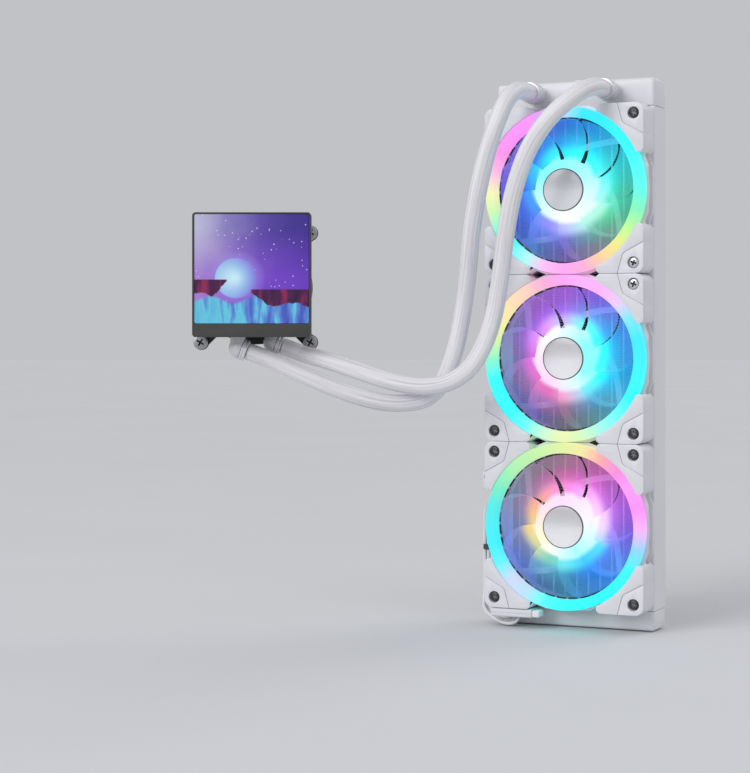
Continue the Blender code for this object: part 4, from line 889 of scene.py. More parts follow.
def fin_strips(name):
    """Thin metal folded back and forth between the tubes."""
    bm = bmesh.new()
    edges = [-58.3 * MM] + TUBE_XS + [58.3 * MM]
    z0, z1 = 9.0 * MM, 365.0 * MM
    pitch = 1.9 * MM
    folds = int((z1 - z0) / (pitch / 2))
    half_t = 0.07 * MM
    for c in range(len(edges) - 1):
        a = edges[c] + (0.98 * MM if c else 0.0)
        b = edges[c + 1] - (0.98 * MM if c < len(edges) - 2 else 0.0)
        centre_line = []
        for i in range(folds + 1):
            z = z0 + (z1 - z0) * i / folds
            flip = i % 2 == 0
            near, far = (a, b) if flip else (b, a)
            w = (b - a)
            for s in (0.0, 0.10, 0.5, 0.90, 1.0):
                x = near + (far - near) * s
                lift = {0.0: -0.30, 0.10: -0.10, 0.5: 0.0, 0.90: 0.10, 1.0: 0.30}[s] * pitch * 0.5
                if i == folds and s > 0.0:
                    break
                if i > 0 and s == 0.0:
                    continue
                centre_line.append((x, z + (s - 0.0) * pitch * 0.42 + lift * 0.25))
        rows = []
        for (x, z) in centre_line:
            rows.append([bm.verts.new((x, y, z + d)) for d, y in ((-half_t, CORE_FRONT), (half_t, CORE_FRONT),
                                                                (half_t, CORE_REAR), (-half_t, CORE_REAR))])
        for r0, r1 in zip(rows, rows[1:]):
            for k in range(4):
                bm.faces.new((r0[k], r0[(k + 1) % 4], r1[(k + 1) % 4], r1[k]))
        bm.faces.new(rows[0][::-1])
        bm.faces.new(rows[-1])
    bmesh.ops.recalc_face_normals(bm, faces=bm.faces)
    mesh = bpy.data.meshes.new(name)
    bm.to_mesh(mesh)
    bm.free()
    return new_object(name, mesh, FIN_METAL)


fins = fin_strips("core_fins")
ride(fins, ROOT, ["radiator_fins"])


def tank(name, lo, hi, open_up):
    """A painted end tank with rounded edges, open towards its header plate."""
    z_open = hi[2] if open_up else lo[2]
    shell = rounded_box(name, lo, hi, WHITE_METAL, 2.4 * MM, 5,
                        pick=lambda a, b: not (abs(a.z - z_open) < 1e-6 and abs(b.z - z_open) < 1e-6))
    wall = 1.5 * MM
    zlo, zhi = (lo[2] + wall, hi[2] + 5 * MM) if open_up else (lo[2] - 5 * MM, hi[2] - wall)
    boolean(shell, rounded_box("hollow", (lo[0] + wall, lo[1] + wall, zlo), (hi[0] - wall, hi[1] - wall, zhi), None))
    return shell


tank_low = tank("tank_low", (-HALF_W, -RAD_DEPTH, -7.0 * MM), (HALF_W, 0.0, 7.0 * MM), True)
tank_high = tank("tank_high", (-HALF_W, -RAD_DEPTH, 367.0 * MM), (HALF_W, 0.0, 387.0 * MM), False)
boolean(tank_high, bars("stubs", [((s * PORT_X, -RAD_DEPTH + 0.8 * MM, PORT_Z), (s * PORT_X, -RAD_DEPTH - 6.0 * MM, PORT_Z))
                                  for s in (-1, 1)], 5.0 * MM, None, 40), 'UNION')
boolean(tank_high, bars("bores", [((s * PORT_X, -RAD_DEPTH + 5.0 * MM, PORT_Z), (s * PORT_X, -RAD_DEPTH - 9.0 * MM, PORT_Z))
                                  for s in (-1, 1)], 3.2 * MM, None, 32))
boolean(tank_high, bars("fill_hole", [((0, -13.5 * MM, 392 * MM), (0, -13.5 * MM, 382 * MM))], 3.3 * MM, None, 32))
soften(tank_high, 0.35 * MM, 2, 40)
soften(tank_low, 0.35 * MM, 2, 40)
ride(tank_low, ROOT, ["tank_bottom"])
ride(tank_high, ROOT, ["tank_top"])

plug_body = turned("filler_plug", rounded_profile([(0.0001 * MM, 1.8 * MM), (4.8 * MM, 1.8 * MM), (4.8 * MM, 0.3 * MM),
                                                   (2.9 * MM, 0.3 * MM), (2.9 * MM, -4.0 * MM), (0.0001 * MM, -4.0 * MM)],
                                                  0.5 * MM), WHITE_METAL, 48, True)
hexagon = [(2.0 * MM * math.cos(math.radians(60 * k)), 2.0 * MM * math.sin(math.radians(60 * k))) for k in range(6)]
boolean(plug_body, plate("key", hexagon, 0.6 * MM, 4.0 * MM))
plug_body.data.transform(Matrix.Translation((0, -13.5 * MM, 387.0 * MM)))
smooth(plug_body, 35)
ride(plug_body, ROOT, ["fill_plug"])

hole_zs = [z + s * HOLE for _, z in FANS for s in (-1, 1)]
for side, label in ((-1, "left"), (1, "right")):
    xs = sorted((side * HALF_W, side * (HALF_W - 12.0 * MM)))
    channel = rounded_box("channel_" + label, (xs[0], -RAD_DEPTH, 7.3 * MM), (xs[1], 0.0, 366.7 * MM), WHITE_METAL,
                          1.0 * MM, 4, pick=along(2))
    inner = sorted((side * 59.0 * MM, side * 40.0 * MM))
    boolean(channel, rounded_box("inside", (inner[0], -RAD_DEPTH + 1.0 * MM, -5 * MM), (inner[1], -1.0 * MM, 380 * MM),
                                 None))
    x = side * HOLE
    boolean(channel, bars("holes", [((x, -30 * MM, z), (x, 3 * MM, z)) for z in hole_zs], 2.15 * MM, None, 28))
    # Positions of short slots in the web between the screw positions, listed but not cut
    slots = []
    for z in [z for _, z in FANS]:
        for dz in (-30 * MM, 0, 30 * MM):
            slots.append(((side * 70 * MM, -13.5 * MM, z + dz), (side * 50 * MM, -13.5 * MM, z + dz)))
    soften(channel, 0.2 * MM, 1, 40)
    ride(channel, ROOT, ["side_plate_" + label])


# ------------------------------------------------------------------ fans
def arc(cx, cy, r, a0, a1, n):
    return [(cx + r * math.cos(math.radians(a0 + (a1 - a0) * i / n)), cy + r * math.sin(math.radians(a0 + (a1 - a0) * i / n)))
            for i in range(n + 1)]


def frame_outline():
    """Square plate with rounded corners and a small dark notch at each end of its corner blocks."""
    half, corner_r, deep = FAN_SIZE / 2, 6.0 * MM, 2.4 * MM
    side_notch = [(half, 16.4 * MM), (half - deep, 22.5 * MM), (half - deep, 24.2 * MM), (half, 27.4 * MM)]
    quadrant = side_notch + arc(half - corner_r, half - corner_r, corner_r, 0, 90, 10) + [(z, x) for x, z in side_notch[::-1]]
    out = []
    for k in range(4):
        c, s = math.cos(math.pi / 2 * k), math.sin(math.pi / 2 * k)
        out += [(c * px - s * py, s * px + c * py) for px, py in quadrant]
    return out


def y_plate(name, points, y_front, y_rear, mats=()):
    """A plate whose outline is in the fan's plane, x across and z up, between two depths."""
    obj = plate(name, [(px, pz) for px, pz in points], 0.0, 1.0, mats)
    for v in obj.data.vertices:
        px, pz, t = v.co
        v.co = (px, y_front + (y_rear - y_front) * t, pz)
    bm = bmesh.new()
    bm.from_mesh(obj.data)
    bmesh.ops.recalc_face_normals(bm, faces=bm.faces)
    bm.to_mesh(obj.data)
    bm.free()
    return obj


def strip(points, width):
    """The outline of a band of that width along a line of points."""
    left, right_side = [], []
    for i, p in enumerate(points):
        a, b = Vector(points[max(i - 1, 0)]), Vector(points[min(i + 1, len(points) - 1)])
        d = (b - a).normalized()
        n = Vector((-d.y, d.x))
        left.append(tuple(Vector(p) + n * width / 2))
        right_side.append(tuple(Vector(p) - n * width / 2))
    return left + right_side[::-1]


def seam_line(sx, sz):
    """The pad's inner edge: from the block's top edge round the screw to its side edge."""
    knots = [(40.2, 62.0), (42.6, 53.5), (44.2, 47.8), (44.8, 46.3), (46.0, 45.2), (48.0, 44.1), (54.0, 40.9), (62.0, 36.6)]
    return [(sx * x * MM, sz * z * MM) for x, z in knots]


def fan_frame():
    frame_obj = y_plate("frame", frame_outline(), FAN_FRONT_Y, FAN_REAR_Y, WHITE_PLASTIC)
    boolean(frame_obj, bars("duct", [((0, -57 * MM, 0), (0, -22 * MM, 0))], DUCT_R, None, 128))
    boolean(frame_obj, bars("seat", [((0, -57 * MM, 0), (0, FAN_FRONT_Y + RING_DEPTH + 0.3 * MM, 0))], 60.1 * MM, None, 128))
    open_half = FAN_SIZE / 2 - CORNER
    for axis in (0, 2):
        for side in (-1, 1):
            near, far = sorted((side * 46.0 * MM, side * 70.0 * MM))
            lo, hi = [-open_half, FAN_FRONT_Y - 5 * MM, -open_half], [open_half, FAN_FRONT_Y + RING_DEPTH + 0.3 * MM, open_half]
            lo[axis], hi[axis] = near, far
            boolean(frame_obj, rounded_box("bite", lo, hi, None))
    # Behind the plate the frame is a round barrel between its corner blocks
    bite = y_plate("barrel_bite", arc(0, 0, 90 * MM, 0, 360, 64)[:-1], FAN_REAR_Y - 11.5 * MM, FAN_REAR_Y - 3.0 * MM)
    boolean(bite, bars("barrel_keep", [((0, -60 * MM, 0), (0, 0, 0))], 58.4 * MM, None, 128))
    for sx in (-1, 1):
        for sz in (-1, 1):
            xs, zs = sorted((sx * open_half, sx * 100 * MM)), sorted((sz * open_half, sz * 100 * MM))
            boolean(bite, rounded_box("block_keep", (xs[0], -60 * MM, zs[0]), (xs[1], 0, zs[1]), None))
    boolean(frame_obj, bite)
    corners = [(sx, sz) for sx in (-1, 1) for sz in (-1, 1)]
    boolean(frame_obj, bars("holes", [((sx * HOLE, -57 * MM, sz * HOLE), (sx * HOLE, -22 * MM, sz * HOLE)) for sx, sz in corners],
                            2.25 * MM, None, 32))
    boolean(frame_obj, bars("counterbores", [((sx * HOLE, -57 * MM, sz * HOLE), (sx * HOLE, FAN_FRONT_Y + 3.4 * MM, sz * HOLE))
                                             for sx, sz in corners], 4.3 * MM, None, 40))
    for sx, sz in corners:
        line = seam_line(sx, sz)
        boolean(frame_obj, y_plate("seam", strip(line, 0.55 * MM), FAN_FRONT_Y - 3 * MM, FAN_FRONT_Y + 1.0 * MM))
        boolean(frame_obj, y_plate("seam", strip(line, 0.55 * MM), FAN_REAR_Y - 1.0 * MM, FAN_REAR_Y + 3 * MM))
    soften(frame_obj, 0.30 * MM, 2, 40)
    base = bars("base", [((0, FAN_REAR_Y - 2.6 * MM, 0), (0, FAN_REAR_Y - 0.1 * MM, 0))], HUB_R, WHITE_PLASTIC, 96)
    for k in range(4):
        line = []
        for i in range(25):
            r = (HUB_R - 3 * MM) + (DUCT_R + 4.2 * MM - HUB_R) * i / 24.0
            a = math.radians(90 * k - 54 - 100 * (1 - math.exp(-(r - HUB_R + 3 * MM) / (19 * MM))))
            line.append((r * math.cos(a), r * math.sin(a)))
        outline = strip(line, 4.4 * MM)
        arm = y_plate("arm", outline, FAN_REAR_Y - 2.3 * MM, FAN_REAR_Y - 0.2 * MM, WHITE_PLASTIC)
        boolean(base, arm, 'UNION')
    soften(base, 0.35 * MM, 2, 40)
    return joined("fan_frame_detail", [frame_obj, base])


def ring_shape():
    """The light ring: a shallow dished face between two rounded lips."""
    f = -FAN_FRONT_Y
    section = [(DUCT_R + 0.1 * MM, f - RING_DEPTH), (RING_R, f - RING_DEPTH), (RING_R, f - 1.2 * MM), (RING_R - 0.8 * MM, f - 0.1 * MM),
               (RING_R - 1.6 * MM, f), (RING_R - 3.6 * MM, f - 0.25 * MM), (DUCT_R + 1.4 * MM, f - 0.05 * MM), (DUCT_R + 0.5 * MM, f - 0.25 * MM),
               (DUCT_R + 0.1 * MM, f - 0.9 * MM)]
    obj = turned("ring_detail", section, (), 160, True, matrix=AXIS_Y, angle=45)
    return obj


def blades_shape():
    """Nine swept, twisted blades with rounded edges."""
    bm = bmesh.new()
    stations, chords = 22, 18
    for k in range(9):
        start = 2 * math.pi * k / 9
        grid = []
        for i in range(stations):
            t = i / (stations - 1.0)
            r = (HUB_R - 1.0 * MM) + t * (51.0 * MM - HUB_R + 1.0 * MM)
            # The tip's two corners are rounded back
            trim = 0.0
            if t > 0.9:
                trim = (t - 0.9) / 0.1
                trim = trim * trim * 0.10
            span = math.radians(42.5 + 1.5 * t) * (1 - trim)
            sweep = math.radians(20 * t * t)
            front = FAN_FRONT_Y + (4.0 + 1.0 * t) * MM
            rear = FAN_REAR_Y - (6.0 + 2.5 * t) * MM
            row = []
            for j in range(chords):
                s = j / (chords - 1.0)
                a = start + sweep + span * (s - 0.5)
                y = front + (rear - front) * (s ** 1.25)
                row.append(bm.verts.new((r * math.cos(a), y, r * math.sin(a))))
            grid.append(row)
        for i in range(stations - 1):
            for j in range(chords - 1):
                bm.faces.new((grid[i][j], grid[i][j + 1], grid[i + 1][j + 1], grid[i + 1][j]))
    mesh = bpy.data.meshes.new("blades")
    bm.to_mesh(mesh)
    bm.free()
    obj = new_object("blades_detail", mesh)
    shell = obj.modifiers.new("thickness", 'SOLIDIFY')
    shell.thickness = 1.5 * MM
    shell.offset = 0.0
    rim = obj.modifiers.new("edge", 'BEVEL')
    rim.width = 0.45 * MM
    rim.segments = 2
    rim.limit_method = 'ANGLE'
    rim.angle_limit = math.radians(50)
    settle(obj)
    return smooth(obj, 60)


def hub_shape():
    f = -FAN_FRONT_Y - 1.0 * MM
    back = -(FAN_REAR_Y - 4.2 * MM)
    section = [(0.001 * MM, f - 1.3 * MM), (CAP_R + 0.35 * MM, f - 1.3 * MM), (CAP_R + 0.35 * MM, f - 0.3 * MM), (CAP_R + 0.7 * MM, f),
               (17.2 * MM, f), (17.35 * MM, f - 0.25 * MM), (17.6 * MM, f - 0.25 * MM), (17.75 * MM, f), (18.9 * MM, f), (19.05 * MM, f - 0.25 * MM),
               (19.3 * MM, f - 0.25 * MM), (19.45 * MM, f), (HUB_R - 1.6 * MM, f), (HUB_R - 0.5 * MM, f - 0.35 * MM), (HUB_R, f - 1.3 * MM), (HUB_R, back), (HUB_R - 1.8 * MM, back),
               (HUB_R - 1.8 * MM, f - 2.4 * MM), (0.001 * MM, f - 2.4 * MM)]
    return turned("hub_detail", section, (), 96, True, matrix=AXIS_Y, angle=45)


def cap_shape():
    f = -FAN_FRONT_Y - 0.6 * MM
    disc = turned("cap_disc", [(0.001 * MM, f + 0.12 * MM), (8.0 * MM, f + 0.10 * MM), (CAP_R - 1.3 * MM, f + 0.02 * MM),
                               (CAP_R - 0.75 * MM, f - 0.15 * MM), (CAP_R - 0.75 * MM, f - 1.3 * MM), (0.001 * MM, f - 1.3 * MM)],
                  CAP_SILVER_SHADED, 96, True, matrix=AXIS_Y, angle=50)
    rim = turned("cap_rim", rounded_profile([(CAP_R - 0.8 * MM, f - 1.3 * MM), (CAP_R, f - 1.3 * MM), (CAP_R, f - 0.15 * MM),
                                             (CAP_R - 0.8 * MM, f - 0.15 * MM)], 0.12 * MM), CAP_RIM, 96, True, matrix=AXIS_Y, angle=50)
    return joined("cap_detail", [disc, rim])


def tip_gap_shape():
    """Painted shade: a dark lining in the clearance round the blade tips, crossed by thin ribs."""
    bm = bmesh.new()
    for k in range(36):
        rows = []
        for i in range(5):
            a = math.radians(10 * k + 1.2 + 7.6 * i / 4)
            rows.append([bm.verts.new((r * MM * math.cos(a), y * MM, r * MM * math.sin(a)))
                         for r, y in ((51.25, -42.6), (52.2, -42.6), (52.2, -41.4), (51.25, -41.4))])
        for r0, r1 in zip(rows, rows[1:]):
            for j in range(4):
                bm.faces.new((r0[j], r0[(j + 1) % 4], r1[(j + 1) % 4], r1[j]))
        bm.faces.new(rows[0][::-1])
        bm.faces.new(rows[-1])
    bmesh.ops.recalc_face_normals(bm, faces=bm.faces)
    mesh = bpy.data.meshes.new("tip_gap")
    bm.to_mesh(mesh)
    bm.free()
    mesh.materials.append(GAP_SHADE_DARK)
    return mesh


def screw_head(name, head_r, head_front, head_rear, shank_r, shank_end, mat, cross=1.0):
    """A pan head with a cross recess, and its shank with a fine rolled thread. Depths are along +Y."""
    obj = turned(name, [(0.0, -head_front), (head_r * 0.72, -(head_front + 0.12 * MM)), (head_r * 0.93, -(head_front + 0.5 * MM)),
                        (head_r, -(head_front + 1.1 * MM)), (head_r, -head_rear), (shank_r, -head_rear)]
                 + [p for i in range(int((shank_end - head_rear) / (0.9 * MM)))
                    for p in ((shank_r, -(head_rear + (i + 0.2) * 0.9 * MM)), (shank_r - 0.22 * MM, -(head_rear + (i + 0.7) * 0.9 * MM)))]
                 + [(shank_r * 0.6, -shank_end), (0.0, -shank_end)], mat, 40, matrix=AXIS_Y, angle=40)
    arm, wide = head_r * 0.62 * cross, head_r * 0.19
    for a in (0, 90):
        cutter = rounded_box("recess", (-arm, head_front - 2 * MM, -wide), (arm, head_front + 1.1 * MM, wide), None)
        cutter.data.transform(Matrix.Rotation(math.radians(a + 20), 4, 'Y'))
        boolean(obj, cutter)
    # Painted shade on the steel screws: the faces deep in the cross recess get black; the black screws' recesses get
    # grey.
    obj.data.materials.append(RECESS_SHADE_BLACK if mat is SCREW_STEEL else RECESS_GREY)
    for face in obj.data.polygons:
        c = face.center
        if head_front + 0.3 * MM < c.y < head_front + 1.3 * MM and math.hypot(c.x, c.z) < arm * 1.02:
            face.material_index = 1
    return smooth(obj, 40)


frame_mesh = fan_frame()
frame_data = frame_mesh.data
bpy.data.objects.remove(frame_mesh, do_unlink=True)
ring_obj = ring_shape()
ring_data = ring_obj.data
bpy.data.objects.remove(ring_obj, do_unlink=True)
blade_obj = blades_shape()
blade_data = blade_obj.data
bpy.data.objects.remove(blade_obj, do_unlink=True)
hub_obj = hub_shape()
hub_data = hub_obj.data
bpy.data.objects.remove(hub_obj, do_unlink=True)
cap_obj = cap_shape()
cap_data = cap_obj.data
bpy.data.objects.remove(cap_obj, do_unlink=True)
tip_data = tip_gap_shape()
screw_meshes = {}
for kind, mat in (("black", SCREW_BLACK), ("steel", SCREW_STEEL)):
    s = screw_head("screw_" + kind, 3.6 * MM, FAN_FRONT_Y + 0.7 * MM, FAN_FRONT_Y + 3.1 * MM, 1.75 * MM, -24.8 * MM, mat)
    screw_meshes[kind] = s.data
    bpy.data.objects.remove(s, do_unlink=True)


def placed(name, data, location, mat=None):
    copy = data.copy()
    if mat is not None:
        copy.materials.clear()
        for m in (mat if isinstance(mat, (list, tuple)) else (mat,)):
            copy.materials.append(m)
    obj = link(bpy.data.objects.new(name, copy))
    obj.location = location
    bpy.context.view_layer.update()
    return obj


for label, cz in FANS:
    at = (0, 0, cz)
    ride(placed("frame_detail_" + label, frame_data, at), ROOT, ["fan_frame_" + label])
    ring = placed("ring_glow_" + label, ring_data, at, ring_material("ring light " + label, RING_HOURS[label], 1.0))
    ride(ring, ROOT, ["light_ring_" + label])
    ride(placed("tip_gap_" + label, tip_data, at), ROOT, ["fan_frame_" + label])
    inner, middle, outer = BLADE_HOURS[label]
    blades = placed("blades_glow_" + label, blade_data, at, blade_material("blade glow " + label, HUB_HOURS[label], inner, middle, outer))
    ride(blades, "rotor_" + label, ["fan_rotor_" + label])
    hub = placed("hub_glow_" + label, hub_data, at, ring_material("hub glow " + label, HUB_HOURS[label], 1.0))
    ride(hub, "rotor_" + label, ["fan_rotor_" + label])
    ride(placed("cap_detail_" + label, cap_data, at), "rotor_" + label, ["hub_cap_" + label])
    motor = turned("motor_windings_" + label, rounded_profile([(2.0 * MM, 46.0 * MM), (17.5 * MM, 46.0 * MM), (17.5 * MM, 30.2 * MM),
                                                              (2.0 * MM, 30.2 * MM)], 1.0 * MM), MOTOR_METAL, 64, True, matrix=AXIS_Y)
    motor.location = at
    bpy.context.view_layer.update()
    ride(motor, ROOT, ["fan_motor_" + label])
    for sx, side in ((-1, "left"), (1, "right")):
        for sz, level in ((-1, "lower"), (1, "upper")):
            kind = "steel" if (label, level, side) in (("top", "lower", "right"), ("middle", "upper", "right")) else "black"
            screw = placed("screw_detail_%s_%s_%s" % (label, level, side), screw_meshes[kind], (sx * HOLE, 0, cz + sz * HOLE))
            ride(screw, ROOT, ["fan_screw_%s_%s_%s" % (label, level, side)])


# ------------------------------------------------------------------ pump head
def in_head(obj):
    obj.matrix_world = HEAD
    bpy.context.view_layer.update()
    return obj


bezel = rounded_box("bezel_detail", (-42.3 * MM, 0.0, -44.6 * MM), (42.3 * MM, 12.0 * MM, 44.3 * MM), CHARCOAL, 2.5 * MM, 8,
                    pick=along(1))
boolean(bezel, rounded_box("opening", (-40.9 * MM, -5 * MM, -35.0 * MM), (40.9 * MM, 3.4 * MM, 43.2 * MM), None, 1.5 * MM, 6,
                           pick=along(1)))
# A shallow moulded step round the bezel's sides
groove_out = rounded_box("groove_out", (-50 * MM, 7.4 * MM, -52 * MM), (50 * MM, 8.0 * MM, 52 * MM), None)
boolean(groove_out, rounded_box("groove_in", (-41.8 * MM, 5 * MM, -44.1 * MM), (41.8 * MM, 10 * MM, 43.8 * MM), None, 2.2 * MM, 6,
                                pick=along(1)))
boolean(bezel, groove_out)
soften(bezel, 0.45 * MM, 3, 40)
ride(in_head(bezel), ROOT, ["lcd_bezel"])

panel = rounded_box("panel_detail", (-40.6 * MM, 0.25 * MM, -34.7 * MM), (40.6 * MM, 3.1 * MM, 42.9 * MM), SCREEN, 1.3 * MM, 6,
                    pick=along(1), edge=0.18 * MM)
ride(in_head(panel), ROOT, ["lcd_panel"])

f = [(0.0, -12.3 * MM), (30.0 * MM, -12.3 * MM), (31.4 * MM, -12.7 * MM), (32.0 * MM, -13.8 * MM)]
for i in range(5):
    z = 17.0 + i * 4.0
    f += [(32.0 * MM, -z * MM), (31.5 * MM, -(z + 0.4) * MM), (31.5 * MM, -(z + 1.2) * MM), (32.0 * MM, -(z + 1.6) * MM)]
f += [(32.0 * MM, -46.5 * MM), (37.0 * MM, -46.5 * MM), (37.8 * MM, -46.8 * MM), (38.0 * MM, -47.6 * MM), (38.0 * MM, -53.4 * MM),
      (37.4 * MM, -54.0 * MM), (0.0, -54.0 * MM)]
housing = turned("housing_detail", f, CHARCOAL, 128, matrix=AXIS_Y, angle=35)
for label, x, y, z in ELBOWS:
    boolean(housing, bars("boss", [((x, y, z + 8.3 * MM - PUMP_Z), (x, y, -22 * MM))], 7.0 * MM, None, 48), 'UNION')
boolean(housing, bars("motor_chamber", [((0, 7 * MM, 0), (0, 38 * MM, 0))], 18.5 * MM, None, 96))
boolean(housing, bars("pump_chamber", [((0, 42 * MM, 0), (0, 60 * MM, 0))], 20.0 * MM, None, 96))
for label, x, y, z in ELBOWS:
    boolean(housing, bars("boss_bore", [((x, y, z + 5 * MM - PUMP_Z), (x, y, -26 * MM))], 3.5 * MM, None, 32))
# Six small cover screws' seats in the rear flange
boolean(housing, bars("seats", [((34.6 * MM * math.cos(math.radians(60 * k + 30)), 45 * MM, 34.6 * MM * math.sin(math.radians(60 * k + 30))),
                                 (34.6 * MM * math.cos(math.radians(60 * k + 30)), 47.4 * MM, 34.6 * MM * math.sin(math.radians(60 * k + 30))))
                                for k in range(6)], 1.5 * MM, None, 24))
housing.data.transform(Matrix.Translation((0, 0, PUMP_Z)))
smooth(housing, 35)
ride(in_head(housing), ROOT, ["pump_housing"])

motor = turned("pump_windings", rounded_profile([(2.6 * MM, -17 * MM), (17.5 * MM, -17 * MM), (17.5 * MM, -37.4 * MM),
                                                 (2.6 * MM, -37.4 * MM)], 1.0 * MM), MOTOR_METAL, 64, True,
               matrix=Matrix.Translation((0, 0, PUMP_Z)) @ AXIS_Y)
ride(in_head(motor), ROOT, ["pump_motor"])

wheel = turned("impeller_detail", [(0.0, -43.0 * MM), (2.6 * MM, -43.0 * MM), (3.0 * MM, -43.5 * MM), (3.6 * MM, -45.6 * MM),
                                   (16.6 * MM, -46.4 * MM), (17.0 * MM, -46.8 * MM), (17.0 * MM, -48.2 * MM), (0.0, -48.4 * MM)],
               IMPELLER, 96, matrix=AXIS_Y, angle=40)
for k in range(6):
    pts = []
    for i in range(10):
        t = i / 9
        r, a = (4.2 + 11.8 * t) * MM, math.radians(60 * k + 26 * t)
        pts.append((r * math.cos(a), r * math.sin(a)))
    boolean(wheel, y_plate("vane", strip(pts, 1.3 * MM), 48.0 * MM, 52.5 * MM), 'UNION')
wheel.data.transform(Matrix.Translation((0, 0, PUMP_Z)))
smooth(wheel, 40)
ride(in_head(wheel), "pump_rotor", ["impeller"])

cold = rounded_box("cold_plate_detail", (-29 * MM, 54.3 * MM, PUMP_Z - 29 * MM), (29 * MM, 58.2 * MM, PUMP_Z + 29 * MM), COPPER,
                   3 * MM, 6, pick=along(1))
boolean(cold, rounded_box("block", (-21 * MM, 57 * MM, PUMP_Z - 21 * MM), (21 * MM, 61.0 * MM, PUMP_Z + 21 * MM), None,
                          1.5 * MM, 4, pick=along(1)), 'UNION')
seats = [(sx * 25 * MM, sz * 25 * MM) for sx in (-1, 0, 1) for sz in (-1, 0, 1) if sx or sz]
boolean(cold, bars("plate_seats", [((x, 57.0 * MM, PUMP_Z + z), (x, 60 * MM, PUMP_Z + z)) for x, z in seats], 1.75 * MM, None, 32))
soften(cold, 0.25 * MM, 2, 40)
ride(in_head(cold), ROOT, ["cold_plate"])
small = []
for x, z in seats:
    head = turned("seat_screw", [(0.0, -57.95 * MM), (1.25 * MM, -57.95 * MM), (1.6 * MM, -57.6 * MM), (1.6 * MM, -57.05 * MM), (0.0, -57.05 * MM)],
                  SCREW_BLACK, 32, matrix=AXIS_Y)
    key = plate("key", [(0.75 * MM * math.cos(math.radians(60 * k)), 0.75 * MM * math.sin(math.radians(60 * k))) for k in range(6)],
                -59 * MM, -57.5 * MM)
    key.data.transform(AXIS_Y)
    boolean(head, key)
    head.data.transform(Matrix.Translation((x, 0, PUMP_Z + z)))
    small.append(head)
small = smooth(joined("cold_plate_screws", small), 40)
ride(in_head(small), ROOT, ["cold_plate"])

bracket = turned("bracket_detail", [(32.4 * MM, -43.6 * MM), (41.5 * MM, -43.6 * MM), (41.5 * MM, -46.2 * MM), (32.4 * MM, -46.2 * MM)],
                 BLACK_METAL, 128, True, matrix=AXIS_Y)
arms = bpy.data.meshes.new("arms")
bm = bmesh.new()
for k in range(4):
    a = math.radians(45 + 90 * k)
    verts = box_bm(bm, (38.5 * MM, 43.8 * MM, -5.0 * MM), (40.0 * MM * math.sqrt(2), 46.0 * MM, 5.0 * MM))
    bmesh.ops.rotate(bm, verts=verts, cent=(0, 0, 0), matrix=Matrix.Rotation(-a, 3, 'Y'))
bm.to_mesh(arms)
bm.free()
boolean(bracket, new_object("arms", arms), 'UNION')
eyes = [(sx * 40.0 * MM, sz * 40.0 * MM) for sx in (-1, 1) for sz in (-1, 1)]
boolean(bracket, bars("bosses", [((x, 43.6 * MM, z), (x, 46.2 * MM, z)) for x, z in eyes], 5.6 * MM, None, 48), 'UNION')
boolean(bracket, bars("eyes", [((x, 40 * MM, z), (x, 50 * MM, z)) for x, z in eyes], 2.6 * MM, None, 32))
soften(bracket, 0.3 * MM, 2, 40)
bracket.data.transform(Matrix.Translation((0, 0, PUMP_Z)))
ride(in_head(bracket), ROOT, ["retention_bracket"])

for x, z in eyes:
    place = "%s_%s" % ("upper" if z > 0 else "lower", "left" if x < 0 else "right")
    profile = [(0.0, -36.2 * MM), (4.2 * MM, -36.2 * MM), (4.9 * MM, -36.5 * MM), (5.2 * MM, -37.2 * MM), (5.2 * MM, -41.8 * MM),
               (4.6 * MM, -42.2 * MM), (4.6 * MM, -43.2 * MM), (2.0 * MM, -43.2 * MM), (2.0 * MM, -50.0 * MM)]
    for i in range(12):
        profile += [(2.0 * MM, -(50.2 + i * 0.75) * MM), (1.72 * MM, -(50.55 + i * 0.75) * MM)]
    profile += [(1.7 * MM, -59.6 * MM), (1.2 * MM, -60.0 * MM), (0.0, -60.0 * MM)]
    screw = turned("mount_screw_detail_" + place, profile, CAPTIVE, 64, matrix=AXIS_Y, angle=40)
    for a in (0, 90):
        cutter = rounded_box("recess", (-3.0 * MM, 34 * MM, -0.6 * MM), (3.0 * MM, 38.4 * MM, 0.6 * MM), None)
        cutter.data.transform(Matrix.Rotation(math.radians(a + 30), 4, 'Y'))
        boolean(screw, cutter)
    for k in range(18):
        a = math.radians(20 * k)
        cutter = rounded_box("knurl", (5.0 * MM, 37.6 * MM, -0.35 * MM), (6.0 * MM, 41.6 * MM, 0.35 * MM), None)
        cutter.data.transform(Matrix.Rotation(a, 4, 'Y'))
        boolean(screw, cutter)
    # Painted shade: the faces in the cross recess get black.
    screw.data.materials.append(RECESS_SHADE_BLACK)
    for face in screw.data.polygons:
        c = face.center
        if 36.6 * MM < c.y < 38.5 * MM and math.hypot(c.x, c.z) < 3.1 * MM:
            face.material_index = 1
    smooth(screw, 40)
    screw.data.transform(Matrix.Translation((x, 0, z + PUMP_Z)))
    ride(in_head(screw), "mount_screw_" + place, ["captive_screw_" + place])

